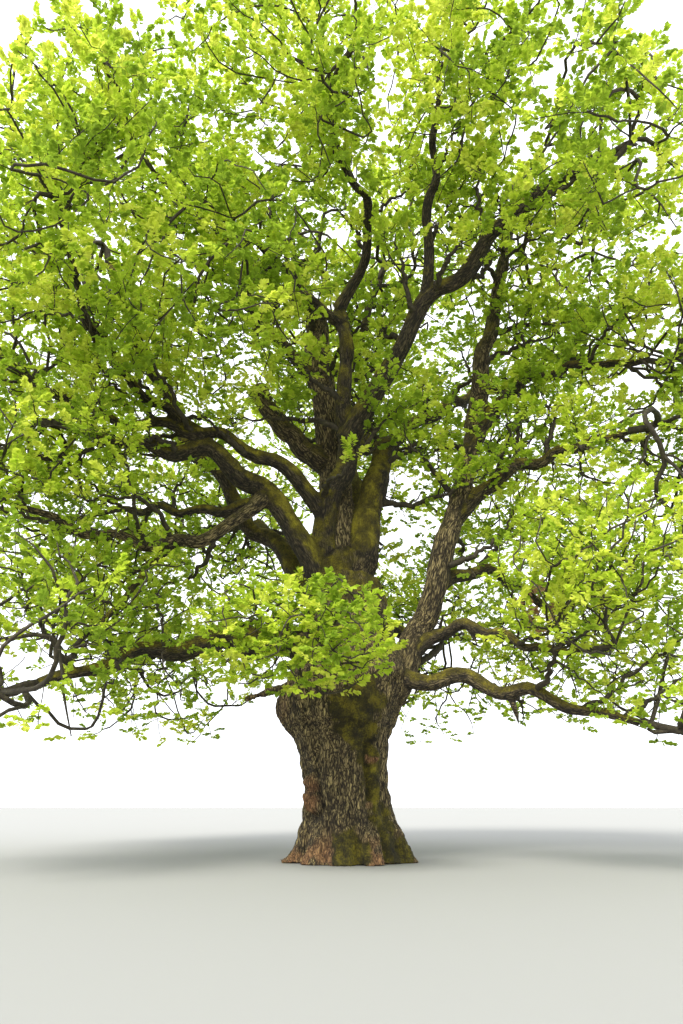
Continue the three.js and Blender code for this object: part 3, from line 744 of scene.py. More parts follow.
def spray_leaves(feet, heads, rng):
    """Bases, directions, normals and lengths of the leaves along each twiglet."""
    stretch = heads - feet
    forwards = unit(stretch)
    flat = np.cross(UP, forwards)
    flat = unit(np.where(np.linalg.norm(flat, axis=1, keepdims=True) < NEARLY_UPRIGHT, EAST, flat))
    flat = turned(flat, forwards, rng.normal(0, SPRAY_TILT, len(feet)))
    outward = unit(feet - UP * CROWN_WIDEST)
    leaves = []
    for k in range(LEAVES_IN_SPRAY):
        share = k / (LEAVES_IN_SPRAY - 1)
        place = FIRST_LEAF + (1 - FIRST_LEAF) * share**LEAF_CROWDING
        lean = (LEAF_LEANS[0] + (LEAF_LEANS[1] - LEAF_LEANS[0]) * share) * (1 if k % 2 else -1)
        angle = np.radians(lean + rng.normal(0, LEAF_LEAN_SPREAD, len(feet)))[:, None]
        direction = forwards * np.cos(angle) + flat * np.sin(angle)
        direction = unit(direction - UP * rng.uniform(*LEAF_DIP, (len(feet), 1)))
        facing = UP * LEAF_UPWARD + outward * LEAF_OUTWARD + rng.normal(0, LEAF_ROCK, (len(feet), 3))
        facing = unit(facing - direction * (facing * direction).sum(1, keepdims=True))
        leaves.append((feet + stretch * place, direction, facing, rng.uniform(*LEAF_LENGTH, len(feet))))
    return [np.stack(rows, axis=1) for rows in zip(*leaves)]


def twiglet_mesh(feet, heads):
    """Slender three-sided spikes, one for each twiglet."""
    along = unit(heads - feet)
    across = square_to(along)
    beside = np.cross(along, across)
    corners = []
    for turn in 2 * math.pi * np.arange(TWIG_SIDES) / TWIG_SIDES:
        corners.append(feet + TWIGLET_RADIUS * (across * math.cos(turn) + beside * math.sin(turn)))
    return many_alike([*corners, heads], [(0, 1, 3), (1, 2, 3), (2, 0, 3), (0, 2, 1)])


# Blender pieces
def new_mesh(name, vertices, triangles):
    mesh = bpy.data.meshes.new(name)
    mesh.vertices.add(len(vertices))
    mesh.vertices.foreach_set("co", np.ascontiguousarray(vertices, np.float32).ravel())
    mesh.loops.add(len(triangles) * 3)
    mesh.loops.foreach_set("vertex_index", np.ascontiguousarray(triangles, np.int32).ravel())
    mesh.polygons.add(len(triangles))
    mesh.polygons.foreach_set("loop_start", np.arange(0, len(triangles) * 3, 3, dtype=np.int32))
    mesh.update(calc_edges=True)
    return mesh


def place_in_scene(name, data):
    item = bpy.data.objects.new(name, data)
    bpy.context.scene.collection.objects.link(item)
    return item


def add_piece(mesh, material, nodes, smooth=True):
    piece = place_in_scene(mesh.name, mesh)
    mesh.materials.append(material)
    mesh.polygons.foreach_set("use_smooth", np.full(len(mesh.polygons), smooth))
    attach(piece, "root")
    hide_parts(*nodes)


def with_modifiers(mesh, *modifiers):
    carrier = place_in_scene("carrier", mesh)
    for kind, settings in modifiers:
        modifier = carrier.modifiers.new(kind, kind)
        for key, value in settings.items():
            setattr(modifier, key, value)
    graph = bpy.context.evaluated_depsgraph_get()
    result = bpy.data.meshes.new_from_object(carrier.evaluated_get(graph))
    bpy.data.objects.remove(carrier)
    bpy.data.meshes.remove(mesh)
    return result


def mesh_arrays(mesh):
    rows = np.empty((2, len(mesh.vertices) * 3), np.float32)
    for key, row in zip(("co", "normal"), rows):
        mesh.vertices.foreach_get(key, row)
    return rows.reshape(2, -1, 3).astype(float)


# Bark
BOLE_VOXEL = 0.037
LIMB_VOXEL = 0.055
BOLE_TRIANGLES = 110000
LIMB_TRIANGLES = 95000
BARK_SMOOTHING = {"factor": 0.5, "iterations": 6}
COLLAR_REACH = 2.6
LIMB_SIDES = 24
RIDGE_WIDTH = 0.1
RIDGE_LENGTH = 0.45
RIDGE_DEPTH = 0.05
RIDGE_FLOOR = 0.6
RIDGE_BEND = 0.6
BEND_SIZE = 0.5
RIDGES = [(1, 0, 0.65), (2.1, 11.7, 0.35)]
RIDGE_CONTRAST = 1.5
LEAST_RELIEF = 0.25
LEAST_LUMP = 0.1
COLLAR_RADII = 1.5
LUMPS = ((0.7, 1), (0.3, 0.5))
LUMP_SHARE = 0.2
WAIST_RADIUS = 1.4
FULL_RELIEF_RADIUS = 0.9
NEAR_LIMB = 0.5
ABOVE_TRUNK_COST = 2
GRAIN_SHIFT = 7.3

# How mossy each limb is, by shares, and how grey, which also gives its moss the darker copy as painted shade
MOSSY_LIMBS = {
    name: share
    for share, names in (
        (0.25, ("right_stem", "left_leader")),
        (0.35, ("grey_bough",)),
        (0.6, ("upper_right_bough",)),
        (0.7, ("right_low_bough",)),
        (0.75, ("right_arm_bough",)),
        (0.8, ("right_mid_bough", "front_left_bough")),
        (0.85, ("centre_stem",)),
        (0.9, ("back_low_bough", "back_side_bough")),
        (0.95, ("left_upper_bough", "left_back_bough")),
        (1.0, ("left_middle_bough", "low_left_bough", "level_bough", "mossy_stem")),
    )
    for name in names
}
USUAL_MOSS = 0.55
GREY_LIMBS = {
    "right_stem": 0.95,
    "left_leader": 0.95,
    "right_high_bough": 0.7,
    "grey_bough": 0.8,
    "broken_stub": 0.6,
    "right_low_bough": 0.3,
    "right_arm_bough": 0.3,
}
USUAL_GREY = 0.12

# The trunk and the bole above it: moss from the trunk up, and how far the grey fades upwards
BOLE_MOSS = (0.15, 0.6)
BOLE_MOSS_HEIGHTS = (5.0, 9.0)
BOLE_FADE = 0.6
BOLE_FADE_HEIGHTS = (5.5, 9.5)

# Patches in the moss: size, shift and weight of each kind, and how ragged they make its edges
PATCHES = [(0.45, 0, 0.45), (0.2, 5.1, 0.35), (0.09, 9.7, 0.2)]
MOSS_SLOPES = (-0.5, 0.45)
MOSS_RAGGED = 1.2
PATCH_RAGGED = 1.6
PATCH_EDGE = (1.3, 0.5)
RUST_HEIGHTS = (1.1, 0.1)
RUST_PATCHES = (0.3, 0.55)
RUST_SHARE = 0.9
KNOT_EDGE = (1.25, 0.6)
# How much a knot clears the moss off itself, and how much painted shade darkens the fold round it
KNOT_AND_FOLD_SHADE_SHARE = 0.8

# Moss on the trunk: bearing, height, half width and half height of each patch
MOSS_PATCHES = [
    (-74, 4.2, 0.70, 0.85),
    (-62, 3.3, 0.46, 0.7),
    (-46, 2.3, 0.50, 0.9),
    (-42, 1.3, 0.48, 0.6),
    (-90, 0.35, 0.50, 0.6),
    (-30, 0.35, 0.6, 0.45),
    (60, 1.2, 0.9, 1.4),
    (120, 2.6, 1.0, 1.5),
    (170, 0.6, 0.6, 0.6),
]

# Swellings on the trunk: bearing, height, half width, half height, how far out, and how rusty, which also
# sets how dark the painted shade in the fold round it is
SWELLINGS = [
    (-142, 2.08, 0.24, 0.30, 0.22, 0.8),
    (-139, 1.60, 0.26, 0.28, 0.46, 1.0),
    (-80, 3.35, 0.26, 0.24, 0.13, 0.5),
    (-52, 2.88, 0.24, 0.24, 0.18, 1.0),
    (-58, 1.55, 0.16, 0.10, 0.10, 0.5),
    (-168, 4.3, 0.45, 0.6, 0.16, 0.2),
    (25, 2.4, 0.35, 0.4, 0.16, 0.6),
    (95, 3.7, 0.4, 0.35, 0.18, 0.4),
    (150, 1.3, 0.3, 0.45, 0.14, 0.7),
]

# A fold runs round each swelling: how many half widths out, how wide, how deep, and how wide the band of
# painted shade in it
FOLD_REACH = 1.5
FOLD_WIDTH = 0.4
FOLD_DEPTH = 0.4
FOLD_PAINTED_SHADE_WIDTH = 0.3

# Hollows between the ribs of the trunk: bearing, half angle, lowest and highest height, depth
HOLLOWS = [
    (-60, 5, 0.6, 3.3, 0.24),
    (-34, 7, 0.0, 2.4, 0.14),
    (-88, 4, 0.9, 3.0, 0.07),
    (-150, 7, -0.5, 0.7, 0.34),
    (-116, 7, -0.5, 0.8, 0.15),
    (-82, 5, -0.5, 0.7, 0.24),
    (-48, 6, -0.5, 0.9, 0.30),
    (-24, 6, -0.5, 0.6, 0.30),
    (10, 7, -0.5, 0.8, 0.30),
    (54, 7, -0.5, 0.8, 0.30),
    (104, 7, -0.5, 0.8, 0.30),
    (150, 8, -0.5, 0.8, 0.30),
    (-103, 8, 1.6, 3.4, 0.12),
    (-128, 7, 2.4, 4.6, 0.12),
    (-120, 6, 3.0, 5.4, 0.08),
    (10, 9, 0.6, 3.6, 0.14),
    (66, 10, 0.4, 3.2, 0.12),
    (110, 8, 1.2, 4.2, 0.12),
    (-178, 8, 1.0, 3.4, 0.08),
]
HOLLOW_ENDS = (0.5, 0.3)

# Rings of the trunk's surface, and spacing of those along a limb
TRUNK_SIDES = 120
TRUNK_RINGS = 90
RING_STEP = 0.12
COLLAR_FADE = 0.86


def trunk_reach(bearings, heights, bearing, height, half_width, half_height):
    """How far places on the trunk lie from the middle of a patch on it, 1 at its edge."""
    off = np.radians(bearing_gap(bearings, bearing)) * WAIST_RADIUS
    return np.hypot(off / half_width, (heights - height) / half_height)


def trunk_relief(bearings, heights):
    """How far the trunk's swellings and hollows move its surface out."""
    out = np.zeros(len(bearings))
    for *place, depth, _ in SWELLINGS:
        reach = trunk_reach(bearings, heights, *place)
        fold = np.exp(-(((reach - FOLD_REACH) / FOLD_WIDTH) ** 2))
        out += depth * (np.exp(-(reach**2)) - FOLD_DEPTH * fold)
    before, after = HOLLOW_ENDS
    for bearing, half_angle, low, high, depth in HOLLOWS:
        tall = smooth_step(low - before, low + after, heights)
        tall = tall * (1 - smooth_step(high - after, high + before, heights))
        out -= depth * np.exp(-((bearing_gap(bearings, bearing) / half_angle) ** 2)) * tall
    return out


def trunk_rings():
    bearings = 360 * np.arange(TRUNK_SIDES) / TRUNK_SIDES
    turns = np.radians(bearings)
    rings = []
    for height in np.linspace(0, TRUNK_TOP, TRUNK_RINGS):
        heights = np.full(TRUNK_SIDES, height)
        radius = trunk_radius(bearings, height) + trunk_relief(bearings, heights)
        across = radius * np.cos(turns) + bole_middle(height)
        rings.append(np.stack([across, radius * np.sin(turns) * TRUNK_DEPTH_SHARE, heights], -1))
    return np.array(rings)


def limb_tube(limb, to_length=math.inf, fade=1.0):
    high = min(to_length / limb.length, 1)
    count = max(4, int(high * limb.length / RING_STEP))
    shares = np.linspace(0, high, count)
    radii = limb.radius(shares) * np.linspace(1, fade, count)
    return tube(limb.points(shares), radii, LIMB_SIDES)


def place_on_wood(points, limbs):
    """For each point, the wood that it is on, and its place across and along that."""
    across = points[:, 0] - bole_middle(points[:, 2])
    deep = points[:, 1] / TRUNK_DEPTH_SHARE
    least = np.hypot(across, deep) - trunk_radius(np.degrees(np.arctan2(deep, across)), points[:, 2])
    least = least + ABOVE_TRUNK_COST * np.maximum(points[:, 2] - TRUNK_TOP, 0)
    owner = np.zeros(len(points), int)
    grain = points.copy()
    for index, limb in enumerate(limbs.values(), 1):
        shares = np.linspace(0, 1, FINE_LIMB_STEPS + 1)
        centres = limb.points(shares)
        margin = limb.radius(0) + NEAR_LIMB
        near = ((points > centres.min(0) - margin) & (points < centres.max(0) + margin)).all(axis=1)
        chosen = np.flatnonzero(near)
        reach = np.diff(centres, axis=0)
        along, gaps = gaps_to(points[chosen], centres[:-1], reach)
        best = gaps.argmin(axis=1)
        rows = np.arange(len(chosen))
        share = (best + along[rows, best]) / FINE_LIMB_STEPS
        gap = gaps[rows, best] - limb.radius(share)
        closer = gap < least[chosen]
        chosen, best, share, rows = chosen[closer], best[closer], share[closer], rows[closer]
        least[chosen] = gap[closer]
        owner[chosen] = index
        frames = frames_along(unit(reach))
        side = points[chosen] - centres[best] - along[rows, best, None] * reach[best]
        local = np.stack([(side * frames[best, k]).sum(1) for k in range(2)], -1)
        if limb.name != "middle_stem":
            grain[chosen] = np.column_stack([local + GRAIN_SHIFT * index, share * limb.length])
    return owner, grain


def bark_height(grain):
    """Relief of the bark from 0 in the fissures to 1 on the ridges, which run along the grain."""
    stretched = grain / [RIDGE_WIDTH, RIDGE_WIDTH, RIDGE_LENGTH]
    bent = stretched + RIDGE_BEND * (smooth_noise(grain / BEND_SIZE)[:, None] - 0.5)
    ridges = sum(
        weight * np.abs(2 * smooth_noise(bent * scale + shift) - 1) for scale, shift, weight in RIDGES
    )
    return np.clip(RIDGE_CONTRAST * ridges, 0, 1)


def finish_bark(name, tubes, limbs, voxel, triangles, nodes, material):
    """One bark piece: its tubes fused, smoothed, ridged, thinned out and coated."""
    mesh = with_modifiers(
        new_mesh(name, *tubes.arrays()),
        ("REMESH", {"mode": "VOXEL", "voxel_size": voxel, "use_smooth_shade": True}),
        ("SMOOTH", BARK_SMOOTHING),
    )
    vertices, normals = mesh_arrays(mesh)
    owner, grain = place_on_wood(vertices, limbs)
    radii = np.array([WAIST_RADIUS, *(limb.radii[0] for limb in limbs.values())])[owner]
    depth = RIDGE_DEPTH * np.clip(radii / FULL_RELIEF_RADIUS, LEAST_RELIEF, 1)
    lumps = sum(weight * (smooth_noise(vertices / size) - 0.5) for size, weight in LUMPS)
    lumps = np.clip(radii, LEAST_LUMP, FULL_RELIEF_RADIUS) * LUMP_SHARE * lumps
    out = depth * (bark_height(grain) - RIDGE_FLOOR) + lumps
    set_places(mesh, vertices + normals * out[:, None])
    share = min(1, triangles / (2 * len(mesh.polygons)))
    mesh = with_modifiers(mesh, ("DECIMATE", {"ratio": share}), ("TRIANGULATE", {}))
    mesh.name = name
    set_places(mesh, mesh_arrays(mesh)[0])
    coat_bark(mesh, limbs)
    add_piece(mesh, material, nodes)


def set_places(mesh, vertices):
    """Move a mesh's vertices, none of them below the ground."""
    vertices[:, 2] = np.maximum(vertices[:, 2], 0)
    mesh.vertices.foreach_set("co", vertices.astype(np.float32).ravel())
    mesh.update()


def coat_bark(mesh, limbs):
    """Attributes for the bark's material: grain, relief, and how mossy, rusty and grey it is, the grey
    lowered as painted shade in the fold round each swelling.
    """
    vertices, normals = mesh_arrays(mesh)
    owner, grain = place_on_wood(vertices, limbs)
    bole, trunk = owner < 2, owner == 0
    heights = vertices[:, 2]
    bearings = np.degrees(np.arctan2(vertices[:, 1], vertices[:, 0] - trunk_middle(heights)[:, 0]))
    patches = sum(weight * smooth_noise(vertices / size + shift) for size, shift, weight in PATCHES)
    coats = [USUAL_MOSS, *(MOSSY_LIMBS.get(name, USUAL_MOSS) for name in limbs)]
    greys = [USUAL_GREY, *(GREY_LIMBS.get(name, USUAL_GREY) for name in limbs)]
    mossy, grey = np.array([coats, greys])[:, owner]
    mossy = np.where(bole, BOLE_MOSS[0] + BOLE_MOSS[1] * smooth_step(*BOLE_MOSS_HEIGHTS, heights), mossy)
    grey = np.where(bole, 1 - BOLE_FADE * smooth_step(*BOLE_FADE_HEIGHTS, heights), grey)
    moss = smooth_step(*MOSS_SLOPES, normals[:, 2] + MOSS_RAGGED * (patches - 0.5)) * mossy
    rust = smooth_step(*RUST_HEIGHTS, heights) * smooth_step(*RUST_PATCHES, patches) * RUST_SHARE
    for place in MOSS_PATCHES:
        reach = trunk_reach(bearings, heights, *place) + PATCH_RAGGED * (0.5 - patches)
        moss = np.maximum(moss, smooth_step(*PATCH_EDGE, reach) * bole)
    for *place, _, rusty in SWELLINGS:
        reach = trunk_reach(bearings, heights, *place)
        near = smooth_step(*KNOT_EDGE, reach) * trunk
        # Painted shade: the grey is lowered in a band round each swelling, so the fold there takes the dark
        # bark colours
        fold = np.exp(-(((reach - FOLD_REACH) / FOLD_PAINTED_SHADE_WIDTH) ** 2)) * trunk
        rust = np.maximum(rust, rusty * near)
        moss = moss * (1 - KNOT_AND_FOLD_SHADE_SHARE * rusty * near)
        grey = grey * (1 - KNOT_AND_FOLD_SHADE_SHARE * rusty * fold)
    coat = np.column_stack([np.clip(moss, 0, 1), np.clip(rust, 0, 1), grey])
    for key, values in (("grain", grain), ("coat", coat), ("relief", bark_height(grain))):
        kind, field = ("FLOAT_VECTOR", "vector") if values.ndim == 2 else ("FLOAT", "value")
        mesh.attributes.new(key, kind, "POINT").data.foreach_set(field, values.astype(np.float32).ravel())


# Broken stubs: the limb and the share of it that each starts from, its reach, and its radii
STUBS = [
    ("low_left_bough", 0.0, (-3.15, -1.3, -1.1), (0.3, 0.09)),
    ("right_low_bough", 0.6, (0.2, -0.1, -0.95), (0.11, 0.045)),
    ("grey_bough", 0.55, (-0.3, -0.2, 0.9), (0.09, 0.04)),
    ("right_droop_front", 0.35, (0.3, -0.3, -0.8), (0.08, 0.035)),
]
STUB_POINTS = 9


def make_bark(limbs, material):
    """Two bark pieces: the bole with the foot of every limb on it, and the limbs."""
    near = ["trunk", "middle_stem"]
    far = [name for name in limbs if name not in near]
    bole, rest = MeshData(), MeshData()
    bole.add(*rings_to_mesh(trunk_rings()))
    bole.add(*limb_tube(limbs["middle_stem"]))
    for name, parent, *_ in LIMBS:
        limb = limbs[name]
        if name in far and parent in near:
            bole.add(*limb_tube(limb, COLLAR_REACH + COLLAR_RADII * limb.radii[0], COLLAR_FADE))
        if name in far:
            rest.add(*limb_tube(limb))
    for name, share, reach, radii in STUBS:
        shares = np.linspace(0, 1, STUB_POINTS)
        points = limbs[name].points(share) + np.outer(shares, reach)
        stub = tube(points, radii[0] + (radii[1] - radii[0]) * shares, LIMB_SIDES)
        (rest if share else bole).add(*stub)
    finish_bark("bole_bark", bole, limbs, BOLE_VOXEL, BOLE_TRIANGLES, near, material)
    finish_bark("limb_bark", rest, limbs, LIMB_VOXEL, LIMB_TRIANGLES, far, material)


# Colours from the fissures of the bark to its ridges, the bark's own tone with painted shade in the fissures
# and painted highlights on the ridges, and from the shade of the moss to its tufts
DARK_BARK = [(0.1, (0.005, 0.004, 0.002)), (0.45, (0.028, 0.021, 0.012)), (0.85, (0.085, 0.064, 0.036))]
PALE_BARK = [(0.14, (0.007, 0.005, 0.002)), (0.4, (0.062, 0.044, 0.020)), (0.74, (0.42, 0.325, 0.14))]
RUSTY_BARK = [(0.12, (0.035, 0.016, 0.006)), (0.62, (0.36, 0.18, 0.075))]
OLIVE_MOSS = [(0.15, (0.022, 0.017, 0.001)), (0.5, (0.11, 0.088, 0.004)), (0.85, (0.30, 0.255, 0.014))]
# The moss again, darker, as painted shade on the trunk and the greyer limbs
PAINTED_SHADE_MOSS = [(0.2, (0.008, 0.006, 0.001)), (0.5, (0.042, 0.034, 0.002)), (0.85, (0.19, 0.155, 0.006))]
TWIG_BARK = [(0.3, (0.016, 0.012, 0.007)), (0.55, (0.045, 0.036, 0.020)), (0.75, (0.10, 0.085, 0.045))]
BLACK = (0, 0, 0)
WHITE = (1, 1, 1)

# Scale, detail and roughness of each noise
NOISES = {
    "wander": (3.0, 2.0, 0.5),
    "plates": (29.0, 6.0, 0.62),
    "fibres": (60.0, 4.0, 0.6),
    "tufts": (20.0, 6.0, 0.7),
    "drifts": (2.6, 4.0, 0.6),
    "blotches": (9.0, 5.0, 0.65),
    "mottle": (5.0, 3.0, 0.6),
}
CRACK_SCALE = 14.0
CRACK_WIDTH = 0.16
PLATE_RANGE = (0.34, 0.64)
PLATE_SHARE = 0.6
CRACK_SHARE = 0.6
FIBRE_SHARE = 0.25
RUST_STRENGTH = 0.9
MOSS_STRENGTH = 2.3
PILE_DRIFT = (1.6, -0.8)
TUFT_EDGE = (1.3, -1.1)
GRAIN_STRETCH = (1, 1, 0.2)
GRAIN_WANDER = (0.16, 0.16, 0.16)
# Leaf greens from the most shaded to the most lit, as painted light and shade, then last year's brown leaves
LEAF_COLOURS = [
    ("leaf_shaded", (0.30, 0.43, 0.040)),
    ("leaf_deep", (0.40, 0.54, 0.048)),
    ("leaf_fresh", (0.51, 0.65, 0.058)),
    ("leaf_bright", (0.62, 0.74, 0.075)),
    ("leaf_golden", (0.72, 0.79, 0.11)),
    ("leaf_dry", (0.48, 0.30, 0.17)),
]
LEAF_MOTTLE = [(0.3, 0.82), (0.7, 1.14)]
LEAF_GLOW = 0.55
LEAF_SHINE = 0.12

# Roughness of each surface, and strength and depth of its bumps
LEAF_ROUGHNESS = 0.6
FLOOR_ROUGHNESS = 0.9
BARK_ROUGHNESS = 0.92
BARK_BUMP = (1.0, 0.05)
TWIG_ROUGHNESS = 0.88
TWIG_BUMP = (0.5, 0.01)


# Materials
class Nodes:
    def __init__(self, name):
        self.material = bpy.data.materials.new(name)
        self.material.use_nodes = True
        self.tree = self.material.node_tree
        self.tree.nodes.clear()

    def add(self, kind, inputs=None, **settings):
        node = self.tree.nodes.new(kind)
        for key, value in settings.items():
            setattr(node, key, value)
        for key, value in (inputs or {}).items():
            if isinstance(value, bpy.types.NodeSocket):
                self.tree.links.new(value, node.inputs[key])
            else:
                node.inputs[key].default_value = value
        return node.outputs

    def attribute(self, name):
        return self.add("ShaderNodeAttribute", attribute_name=name)

    def noise(self, vector, kind):
        scale, detail, roughness = NOISES[kind]
        inputs = {"Vector": vector, "Scale": scale, "Detail": detail, "Roughness": roughness}
        return self.add("ShaderNodeTexNoise", inputs)

    def ramp(self, factor, stops):
        colours = self.add("ShaderNodeValToRGB", {"Fac": factor})
        elements = self.tree.nodes[-1].color_ramp.elements
        while len(elements) < len(stops):
            elements.new(0.5)
        for element, (position, colour) in zip(elements, stops):
            element.position = position
            element.color = (*colour, 1)
        return colours["Color"]

    def math(self, operation, *values, clamp=True):
        inputs = dict(enumerate(values))
        return self.add("ShaderNodeMath", inputs, operation=operation, use_clamp=clamp)["Value"]

    def mix(self, factor, first, second):
        return self.add("ShaderNodeMix", {0: factor, 6: first, 7: second}, data_type="RGBA")[2]

    def bump(self, height, strength, distance):
        inputs = {"Height": height, "Strength": strength, "Distance": distance}
        return self.add("ShaderNodeBump", inputs)["Normal"]

    def surface(self, colour, roughness, **more):
        inputs = {"Base Color": colour, "Roughness": roughness, **more}
        return self.add("ShaderNodeBsdfPrincipled", inputs)[0]

    def output(self, shader):
        self.add("ShaderNodeOutputMaterial", {"Surface": shader})
        return self.material


def bark_material():
    nodes = Nodes("oak_bark")
    grain = nodes.attribute("grain")["Vector"]
    relief = nodes.attribute("relief")["Fac"]
    coat = nodes.add("ShaderNodeSeparateXYZ", {"Vector": nodes.attribute("coat")["Vector"]})
    moss, rust, grey = coat["X"], coat["Y"], coat["Z"]
    wander = nodes.noise(grain, "wander")["Color"]
    wander = nodes.add("ShaderNodeVectorMath", {0: wander, 1: GRAIN_WANDER}, operation="MULTIPLY")["Vector"]
    bent = nodes.add("ShaderNodeVectorMath", {0: grain, 1: wander}, operation="ADD")["Vector"]
    along = nodes.add("ShaderNodeMapping", {"Vector": bent, "Scale": GRAIN_STRETCH})["Vector"]
    cracks = {"Vector": along, "Scale": CRACK_SCALE}
    cracks = nodes.add("ShaderNodeTexVoronoi", cracks, feature="DISTANCE_TO_EDGE")["Distance"]
    edge = nodes.ramp(cracks, [(0, BLACK), (CRACK_WIDTH, WHITE)])
    plate = nodes.ramp(nodes.noise(along, "plates")["Fac"], list(zip(PLATE_RANGE, (BLACK, WHITE))))
    # The height picks the bark's colour: its own dark fissures and cracks deepened with painted shade, and
    # painted highlights on the ridges
    height = nodes.math("MULTIPLY_ADD", plate, PLATE_SHARE, nodes.math("MULTIPLY", relief, 1 - PLATE_SHARE))
    height = nodes.math("MULTIPLY", height, nodes.math("MULTIPLY_ADD", edge, CRACK_SHARE, 1 - CRACK_SHARE))
    bark = nodes.mix(grey, nodes.ramp(height, DARK_BARK), nodes.ramp(height, PALE_BARK))
    bark = nodes.mix(nodes.math("MULTIPLY", rust, RUST_STRENGTH), bark, nodes.ramp(height, RUSTY_BARK))
    tufts = nodes.noise(grain, "tufts")["Fac"]
    drifts = nodes.noise(grain, "drifts")["Fac"]
    pile = nodes.math("ADD", nodes.math("MULTIPLY_ADD", drifts, *PILE_DRIFT, clamp=False), tufts)
    # Painted shade: where the wood is greyer, the trunk most of all, the moss takes its darker copy
    green = nodes.mix(grey, nodes.ramp(pile, OLIVE_MOSS), nodes.ramp(pile, PAINTED_SHADE_MOSS))
    ragged = nodes.math("MULTIPLY_ADD", tufts, *TUFT_EDGE, clamp=False)
    colour = nodes.mix(nodes.math("MULTIPLY_ADD", moss, MOSS_STRENGTH, ragged), bark, green)
    lumps = nodes.math("MULTIPLY_ADD", nodes.noise(along, "fibres")["Fac"], FIBRE_SHARE, height)
    return nodes.output(nodes.surface(colour, BARK_ROUGHNESS, Normal=nodes.bump(lumps, *BARK_BUMP)))


def twig_material():
    nodes = Nodes("twig_bark")
    blotches = nodes.noise(nodes.add("ShaderNodeTexCoord")["Object"], "blotches")["Fac"]
    colour = nodes.ramp(blotches, TWIG_BARK)
    return nodes.output(nodes.surface(colour, TWIG_ROUGHNESS, Normal=nodes.bump(blotches, *TWIG_BUMP)))


def leaf_material(name, colour):
    nodes = Nodes(name)
    mottle = nodes.noise(nodes.add("ShaderNodeTexCoord")["Object"], "mottle")["Fac"]
    shades = [(place, tuple(min(1.0, share * part) for part in colour)) for place, share in LEAF_MOTTLE]
    tint = nodes.ramp(mottle, shades)
    surface = nodes.surface(tint, LEAF_ROUGHNESS, **{"Specular IOR Level": LEAF_SHINE})
    glow = nodes.add("ShaderNodeBsdfTranslucent", {"Color": tint})[0]
    return nodes.output(nodes.add("ShaderNodeMixShader", {0: LEAF_GLOW, 1: surface, 2: glow})[0])


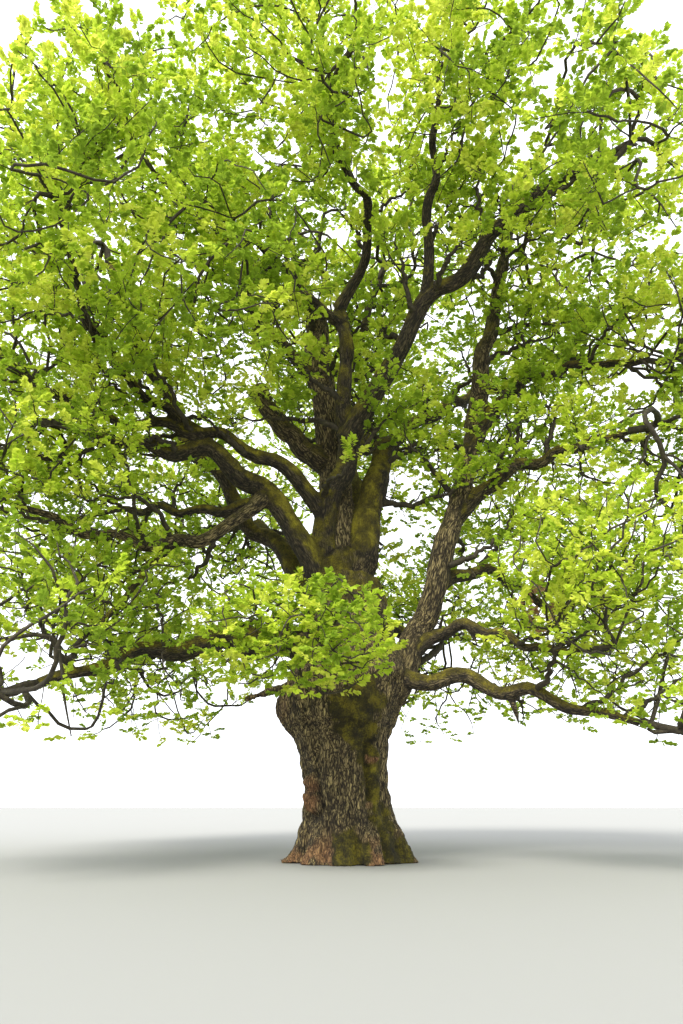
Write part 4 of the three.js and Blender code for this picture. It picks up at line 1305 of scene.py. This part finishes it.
def make_foliage(limbs):
    """Branches, twigs, twiglets and leaves, each kind in pieces of its own."""
    spaces = [Space(limbs[name], *row) for name, *row in MASSES]
    for space in spaces:
        space.meet(spaces)
    coarse = Stretches(limbs, LIMB_STEPS)
    foliage = Foliage(Stretches(limbs, FINE_LIMB_STEPS // 2))
    for i, space in enumerate(spaces):
        foliage.add_mass(space, coarse, FIRST_MASS_SEED + i)
    shares = np.linspace(0, 1, FINE_LIMB_STEPS + 1)
    for i, limb in enumerate(limbs.values()):
        open_height = LEAFY_HEIGHTS.get(limb.name, OPEN_HEIGHT)
        if limb.name not in BARE_LIMBS:
            rng = np.random.default_rng(i)
            foliage.add_side_growth(limb.points(shares), limb.radius(shares), rng, open_height)
    nodes = [f"{name.replace('_bough', '')}_foliage" for name, *_ in MASSES]
    feet, heads = np.vstack(foliage.feet), np.vstack(foliage.heads)
    bark = twig_material()
    wood = [foliage.branches.arrays(), foliage.twigs.arrays(), twiglet_mesh(feet, heads)]
    for name, arrays in zip(("branches", "twigs", "twiglets"), wood):
        add_piece(new_mesh(name, *arrays), bark, nodes)
    rng = np.random.default_rng(LEAF_SEED)
    leaves = spray_leaves(feet, heads, rng)
    # Each leaf's tone: smooth clumps of painted light and shade through the crown, and the leaves' own tone
    # at random
    tone = LIGHT_CLUMP_SHARE * smooth_noise(heads / LIGHT_CLUMP_SIZE) + (1 - LIGHT_CLUMP_SHARE) * rng.random(len(heads))
    ranks = np.argsort(np.argsort(tone)) * LEAF_TONES // len(tone)
    for place in DRY_PLACES:
        ranks[np.linalg.norm(heads - place, axis=1) < DRY_REACH] = LEAF_TONES
    for index, (name, colour) in enumerate(LEAF_COLOURS):
        chosen = [np.concatenate(values[ranks == index]) for values in leaves]
        mesh = new_mesh(name.replace("leaf", "leaves"), *leaf_mesh(*chosen))
        add_piece(mesh, leaf_material(name, colour), nodes, smooth=False)


# Studio
CAMERA_PLACE = (-0.19, -24.0, 1.6)
CAMERA_PITCH = 21.5
CAMERA_LENS = 26.0
CAMERA_SIGHT = 1000
FLOOR_HALF = 300.0
FLOOR_DROP = 0.004
FLOOR_COLOUR = (0.27, 0.27, 0.257, 1)
SKY_COLOUR = (0.93, 0.96, 1.0, 1)
SKY_STRENGTH = 1.9
LAMP_STRENGTH = 5.2
LAMP_SPREAD = 25
LAMP_COLOUR = (1.0, 0.97, 0.9)
LAMP_TURNS = (40, -24, 0)


def make_studio():
    floor = bpy.data.meshes.new("floor")
    corners = [(x * FLOOR_HALF, y * FLOOR_HALF, -FLOOR_DROP) for x, y in ((-1, -1), (1, -1), (1, 1), (-1, 1))]
    floor.from_pydata(corners, [], [(0, 1, 2, 3)])
    nodes = Nodes("floor_paint")
    floor.materials.append(nodes.output(nodes.surface(FLOOR_COLOUR, FLOOR_ROUGHNESS)))
    place_in_scene("floor", floor)
    world = bpy.data.worlds.new("studio")
    bpy.context.scene.world = world
    world.use_nodes = True
    sky = world.node_tree.nodes["Background"].inputs
    sky["Color"].default_value = SKY_COLOUR
    sky["Strength"].default_value = SKY_STRENGTH
    sun = bpy.data.lights.new("softbox", "SUN")
    sun.energy = LAMP_STRENGTH
    sun.angle = math.radians(LAMP_SPREAD)
    sun.color = LAMP_COLOUR
    place_in_scene("softbox", sun).rotation_euler = [math.radians(turn) for turn in LAMP_TURNS]
    lens = bpy.data.cameras.new("camera")
    lens.lens = CAMERA_LENS
    lens.clip_end = CAMERA_SIGHT
    camera = place_in_scene("camera", lens)
    camera.location = CAMERA_PLACE
    camera.rotation_euler = (math.radians(90 + CAMERA_PITCH), 0, 0)
    bpy.context.scene.camera = camera
    bpy.context.scene.view_settings.view_transform = "Standard"


make_studio()
tree_limbs = grow_limbs()
make_bark(tree_limbs, bark_material())
make_foliage(tree_limbs)
